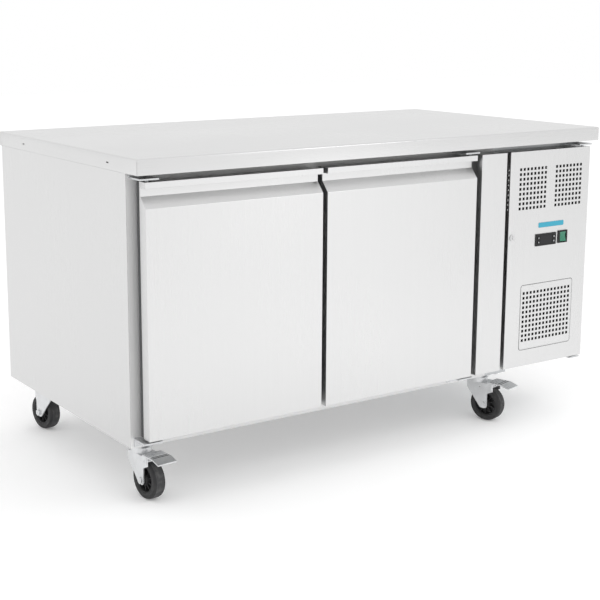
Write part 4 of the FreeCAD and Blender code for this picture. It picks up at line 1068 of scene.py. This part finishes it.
def make_rocker():
    """Lighted rocker with a hollow front face, on its cross pin."""
    pivot = turned_frame("power_rocker_turn").translation
    low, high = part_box("power_rocker")
    half_wide, foot, head = 11.4 * MM, -13.5 * MM, 14 * MM
    depths = ((foot, -4.7 * MM), (0.0, -1.6 * MM), (head, -3.1 * MM))
    mesh = bmesh.new()
    outline = []
    for step in range(13):
        z = foot + (head - foot) * step / 12
        y = 0.0
        for here, depth in depths:
            weight = 1.0
            for other, _ in depths:
                if other != here:
                    weight *= (z - other) / (here - other)
            y += depth * weight
        outline.append((y, z))
    outline += [(5 * MM, 10 * MM), (5 * MM, -10 * MM)]
    loops = []
    ends = ((-half_wide, 0.93), (-half_wide + 0.8 * MM, 1.0), (half_wide - 0.8 * MM, 1.0), (half_wide, 0.93))
    for x, shrink in ends:
        loops.append([mesh.verts.new((pivot.x + x, pivot.y + y + (1 - shrink) * 4 * MM, pivot.z + z * shrink))
                      for y, z in outline])
    bridge_solid(mesh, loops)
    pin = [(low.x - pivot.x, 1.2 * MM), (high.x - pivot.x, 1.2 * MM)]
    lathe(mesh, pin, facing((1, 0, 0), pivot), 24, capped=True)
    rocker = smooth_by_angle(piece("rocker_cap", mesh, "power_rocker", GREEN), 30)
    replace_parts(rocker, "power_rocker")
    return rocker


def flat_mark(mesh, corners, front, thick=0.18 * MM):
    """A thin raised mark on a surface that faces the front."""
    near = [mesh.verts.new((x, front - thick, z)) for x, z in corners]
    far = [mesh.verts.new((x, front + 0.05 * MM, z)) for x, z in corners]
    bridge(mesh, [far, near])
    mesh.faces.new(near)


def make_button_marks():
    """Plain signs on the four keys: up, down, a square, and a ring with a bar."""
    for name in ("up", "down", "set", "standby"):
        low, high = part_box(f"button_{name}")
        middle = (low + high) / 2
        mesh = bmesh.new()
        size = 1.9 * MM
        if name in ("up", "down"):
            tip = size if name == "up" else -size
            corners = [(-size, -tip * 0.7), (size, -tip * 0.7), (0.0, tip)]
            flat_mark(mesh, [(middle.x + x, middle.z + z) for x, z in corners], low.y)
        elif name == "set":
            corners = [(-size, -size), (size, -size), (size, size), (-size, size)]
            flat_mark(mesh, [(middle.x + x * 0.8, middle.z + z * 0.8) for x, z in corners], low.y)
        else:
            for step in range(12):
                corners = []
                for radius, shift in ((1.0, 0), (1.0, 1), (0.66, 1), (0.66, 0)):
                    angle = math.radians(125 + 290 * (step + shift) / 12)
                    corners.append((middle.x + 1.15 * size * radius * math.cos(angle),
                                    middle.z + 1.15 * size * radius * math.sin(angle)))
                flat_mark(mesh, corners, low.y)
            bar = [(-0.3 * MM, 0.2 * MM), (0.3 * MM, 0.2 * MM), (0.3 * MM, 2.6 * MM), (-0.3 * MM, 2.6 * MM)]
            flat_mark(mesh, [(middle.x + x, middle.z + z) for x, z in bar], low.y)
        piece(f"button_{name}_mark", mesh, f"button_{name}", PALE_INK)


def rounded_corners(low, high, radius, steps=6):
    """Outline of a rectangle with round corners, as (across, up) points."""
    points = []
    for across, up, start in ((high[0], high[1], 0), (low[0], high[1], 90), (low[0], low[1], 180),
                              (high[0], low[1], 270)):
        centre = (across - radius if across == high[0] else across + radius,
                  up - radius if up == high[1] else up + radius)
        points += arc(centre, radius, start, start + 90, steps)
    return points


def make_plain_strip():
    """Coloured plate without any lettering, above the controller and the switch."""
    left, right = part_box("controller_housing")[0].x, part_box("switch_bezel")[1].x
    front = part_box("machine_panel")[0].y
    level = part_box("controller_housing")[1].z + 25 * MM
    middle = (left + right) / 2 - 3 * MM
    mesh = bmesh.new()
    corners = rounded_corners((middle - 50 * MM, level - 7 * MM), (middle + 50 * MM, level + 7 * MM), 3 * MM)
    flat_mark(mesh, corners, front, 0.6 * MM)
    plate = piece("plain_strip", mesh, "machine_panel", TEAL_INK)
    border = bmesh.new()
    line = rounded_corners((middle - 50.4 * MM, level - 7.4 * MM), (middle + 50.4 * MM, level + 7.4 * MM),
                           3.4 * MM)
    add_bead(border, line, front, 0.9 * MM, 0.8 * MM)
    smooth_by_angle(piece("plain_strip_border", border, "machine_panel", CHROME), 60)
    return plate


def add_bead(mesh, line, front, wide, proud):
    """A half-round raised line on the panel's front."""
    count = len(line)
    rings = []
    for index in range(count):
        before, after = Vector(line[index - 1]), Vector(line[(index + 1) % count])
        ahead = (after - before).normalized()
        out = Vector((ahead.y, -ahead.x))
        ring = []
        for step in range(6):
            angle = math.pi * step / 5
            across = out * (wide / 2 * math.cos(angle))
            depth = front - proud * math.sin(angle) + 0.05 * MM
            ring.append(mesh.verts.new((line[index][0] + across.x, depth, line[index][1] + across.y)))
        rings.append(ring)
    bridge(mesh, rings, closed=True)


def make_vent_surround():
    """Pressed bead round the lower vent, which takes the air filter's frame, with a dark rubber bead outside
    it that paints the shadow line along the pressed edge.
    """
    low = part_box("machine_panel")[0]
    left, right = low.x + 57 * MM, low.x + 262 * MM
    bottom, top = low.z + 48 * MM, low.z + 238 * MM
    joint, edge = bmesh.new(), bmesh.new()
    # The dark rubber bead in joint is painted shadow: the shadow line along the pressed edge.
    add_bead(joint, rounded_corners((left, bottom), (right, top), 8 * MM), low.y, 1.8 * MM, 0.5 * MM)
    inset = 1.5 * MM
    line = rounded_corners((left + inset, bottom + inset), (right - inset, top - inset), 7 * MM)
    add_bead(edge, line, low.y, 2.2 * MM, 0.9 * MM)
    smooth_by_angle(piece("vent_surround_shadow_line", joint, "machine_panel", SEAL_RUBBER), 60)
    return smooth_by_angle(piece("vent_surround", edge, "machine_panel", STEEL_UP), 60)


def make_rim_highlight_rivets():
    """Bright chrome rivets down the panel's left rim, seen in the gap beside the filler strip; they paint the
    light that shows through the rim's holes as bright dots (painted highlight).
    """
    low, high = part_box("machine_panel")
    mesh = bmesh.new()
    first, step = high.z - 50 * MM, 13.8 * MM
    profile = [(-0.4 * MM, 3.4 * MM), (0.3 * MM, 3.4 * MM)] + arc((0.3 * MM, 2.0 * MM), 1.2 * MM, 90, 10, 4)
    profile += [(1.6 * MM, 1.0 * MM), (1.6 * MM, 0.1 * MM)]
    for number in range(9):
        place = (low.x, low.y + 8 * MM, first - number * step)
        lathe(mesh, profile, facing((-1, 0, 0), place), 20, capped=True)
    return smooth_by_angle(piece("rim_highlight_rivets", mesh, "machine_panel", CHROME), 50)


def make_vent_shade_filters():
    """Black open-cell filter pads behind the panel's vents; their black also paints the vent holes dark,
    standing in for the shade inside (painted shade).
    """
    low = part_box("machine_panel")[0]
    pads = ((14, 142, 565, 795), (152, 275, 565, 795), (62, 258, 225, 415))
    for number, (left, right, bottom, top) in enumerate(pads):
        corner = Vector((low.x + left * MM, low.y + 2.2 * MM, bottom * MM))
        opposite = Vector((low.x + right * MM, low.y + 8 * MM, top * MM))
        mesh = bmesh.new()
        wide, tall = 24, 24
        fronts = []
        for row in range(tall + 1):
            line = []
            for column in range(wide + 1):
                x = corner.x + (opposite.x - corner.x) * column / wide
                z = corner.z + (opposite.z - corner.z) * row / tall
                dent = 0.5 * MM * math.sin(column * 2.4) * math.sin(row * 2.1)
                line.append(mesh.verts.new((x, corner.y + 0.5 * MM + dent, z)))
            fronts.append(line)
        for row in range(tall):
            for column in range(wide):
                mesh.faces.new((fronts[row][column], fronts[row][column + 1], fronts[row + 1][column + 1],
                                fronts[row + 1][column]))
        rim = fronts[0] + [line[-1] for line in fronts[1:-1]] + list(reversed(fronts[-1]))
        rim += [line[0] for line in reversed(fronts[1:-1])]
        back = [mesh.verts.new((point.co.x, opposite.y, point.co.z)) for point in rim]
        bridge(mesh, [rim, back])
        mesh.faces.new(back)
        name = f"vent_shade_filter_{number + 1}"
        smooth_by_angle(piece(name, mesh, "machine_panel", FILTER_FOAM), 50)


# ---- compressor ----

def make_compressor_details():
    """Weld bead round the shell, a clipped lid on the terminal box, and the shell's process tube."""
    pot = compressor_shell()
    bead = bmesh.new()
    rim, steps = pot["radius"] + 4 * MM, 72
    for level in (pot["seam"] - 0.3 * MM, pot["seam"] + 8.3 * MM):
        ring = [(pot["x"] + rim * math.cos(math.tau * step / steps),
                 pot["y"] + rim * math.sin(math.tau * step / steps), level) for step in range(steps)]
        add_tube(bead, ring + ring[:1], 1.5 * MM, 8)
    smooth_by_angle(piece("compressor_weld", bead, "cabinet", POT_BLACK), 50)
    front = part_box("compressor")[0].y
    lid = bmesh.new()
    half, bottom = 24 * MM, pot["base"] + 68 * MM
    for y, shrink in ((front - 1.2 * MM, 1.0), (front - 0.2 * MM, 0.0)):
        corners = rounded_corners((pot["x"] - half + shrink * MM, bottom + shrink * MM),
                                  (pot["x"] + half - shrink * MM, bottom + 56 * MM - shrink * MM), 5 * MM)
        deep = 1.0 * MM if shrink else 10 * MM
        loops = [[lid.verts.new((x, y + step, z)) for x, z in corners] for step in (0.0, deep)]
        bridge_solid(lid, loops)
    smooth_by_angle(piece("terminal_lid", lid, "cabinet", BLACK_PLASTIC), 40)
    clip = bmesh.new()
    wire_left, wire_right, wire_front = pot["x"] - 12 * MM, pot["x"] + 12 * MM, front - 1.6 * MM
    route = [(wire_left, wire_front, bottom + 30 * MM), (wire_left, wire_front, bottom + 57 * MM),
             (pot["x"], front + 1.0 * MM, bottom + 61 * MM), (wire_right, wire_front, bottom + 57 * MM),
             (wire_right, wire_front, bottom + 30 * MM)]
    add_tube(clip, route, 1.0 * MM, 8)
    smooth_by_angle(piece("terminal_clip", clip, "cabinet", ZINC), 50)
    tube = bmesh.new()
    root = Vector((pot["x"] - 0.62 * pot["radius"], pot["y"] - 0.5 * pot["radius"], pot["seam"] + 40 * MM))
    out = Vector((-0.78, -0.62, 0.0))
    route = [root, root + out * 30 * MM, root + out * 36 * MM + Vector((0, 0, 6 * MM)),
             root + out * 38 * MM + Vector((0, 0, 14 * MM)), root + out * 38 * MM + Vector((0, 0, 44 * MM))]
    add_tube(tube, route, 3.2 * MM, 12)
    smooth_by_angle(piece("process_tube", tube, "cabinet", COPPER), 50)


def compressor_shell():
    """Middle, radius, foot and seam height of the compressor's shell, from the CAD node's corners."""
    points = [vertex.co for vertex in frame["nodes"]["compressor"].data.vertices]
    top = max(point.z for point in points)
    crown = [point for point in points if point.z > top - 1 * MM]
    x = sum(point.x for point in crown) / len(crown)
    y = sum(point.y for point in crown) / len(crown)
    wall = [point for point in points if top - 60 * MM < point.z < top - 34 * MM]
    radius = max(math.hypot(point.x - x, point.y - y) for point in wall)
    flange = [point.z for point in points if point.z > top - 120 * MM
              and abs(math.hypot(point.x - x, point.y - y) - radius - 4 * MM) < 0.5 * MM]
    return {"x": x, "y": y, "radius": radius, "base": top - 190 * MM, "seam": min(flange)}


# ---- control box ----

def make_control_box():
    """Moulded junction box: base, lid with a stepped joint, corner screws and cable glands below."""
    low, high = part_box("control_box")
    mesh = bmesh.new()
    joint = high.x - 14 * MM
    for x0, x1, inset in ((low.x, joint - 0.6 * MM, 1.5 * MM), (joint - 0.6 * MM, joint + 0.2 * MM, 3 * MM),
                          (joint + 0.2 * MM, high.x - 2 * MM, 0.0), (high.x - 2 * MM, high.x, 5 * MM)):
        corners = rounded_corners((low.y + inset, low.z + inset), (high.y - inset, high.z - inset), 8 * MM)
        rings = [[mesh.verts.new((x, y, z)) for y, z in corners] for x in (x0, x1)]
        bridge_solid(mesh, rings)
    box = smooth_by_angle(piece("control_box_case", mesh, "cabinet", GREY_PLASTIC), 40)
    bevelled(box, 0.7 * MM)
    heads, glands = bmesh.new(), bmesh.new()
    for y in (low.y + 12 * MM, high.y - 12 * MM):
        for z in (low.z + 12 * MM, high.z - 12 * MM):
            add_screw(heads, facing((1, 0, 0), (high.x - 0.3 * MM, y, z)), 3.6 * MM, 1.6 * MM)
    for share in (0.2, 0.5, 0.8):
        place = (low.x + 16 * MM, low.y + share * (high.y - low.y), low.z + 1.5 * MM)
        matrix = facing((0, 0, -1), place)
        add_bolt(glands, matrix, 10.5 * MM, 7 * MM)
        gland = [(6 * MM, 8.6 * MM), (13 * MM, 8.2 * MM), (16 * MM, 5.5 * MM), (16 * MM, 3.2 * MM)]
        lathe(glands, gland, matrix, 28, capped=True)
    smooth_by_angle(piece("control_box_screws", heads, "cabinet", ZINC), 40)
    smooth_by_angle(piece("cable_glands", glands, "cabinet", BLACK_PLASTIC), 30)
    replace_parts(box, "control_box")


finish_cad_nodes()
soften_cad_edges()
make_camera()
make_world()
make_floor()
soft_light("front_light", (1.7, -3.4, 0.43), (0.0, -0.3, 0.43), 1.3, 0.8, 1.1)
soft_light("floor_light", (0.5, -1.55, 1.4), (0.5, -1.55, 0.0), 0.9, 0.7, 5.5)
soft_light("side_light", (-3.2, 1.4, 0.5), (-0.75, 0.0, 0.5), 1.2, 0.7, 0.5)
soft_light("top_light", (-0.4, -1.2, 3.6), (0.0, -0.6, 0.0), 4.0, 4.0, 1)
make_worktop()
make_worktop_shadow_bead()
for side in ("left", "right"):
    make_door_seal(side)
for where in ("front_left", "front_right", "rear_left", "rear_right"):
    make_wheel(where)
for where in ("front_left", "front_right"):
    make_pedal_dark_bars(where)
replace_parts(make_coil("condenser", "condenser", 0, 2.1 * MM, 25 * MM), "condenser")
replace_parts(make_coil("evaporator", "evaporator_coil", 1, 4.5 * MM, 24 * MM),
            "evaporator_coil")
make_fan("condenser_fan_blades", "condenser_fan_rotor", "condenser_fan", "condenser_fan_spin", 5, 38, 22)
make_fan("evaporator_fan_blades", "evaporator_fan_rotor", "evaporator_fan", "evaporator_fan_spin", 7, 40, 26)
make_blower_guard()
make_fasteners()
make_cover_screws()
make_rocker()
make_button_marks()
make_plain_strip()
make_vent_surround()
make_rim_highlight_rivets()
make_vent_shade_filters()
make_control_box()
make_compressor_details()
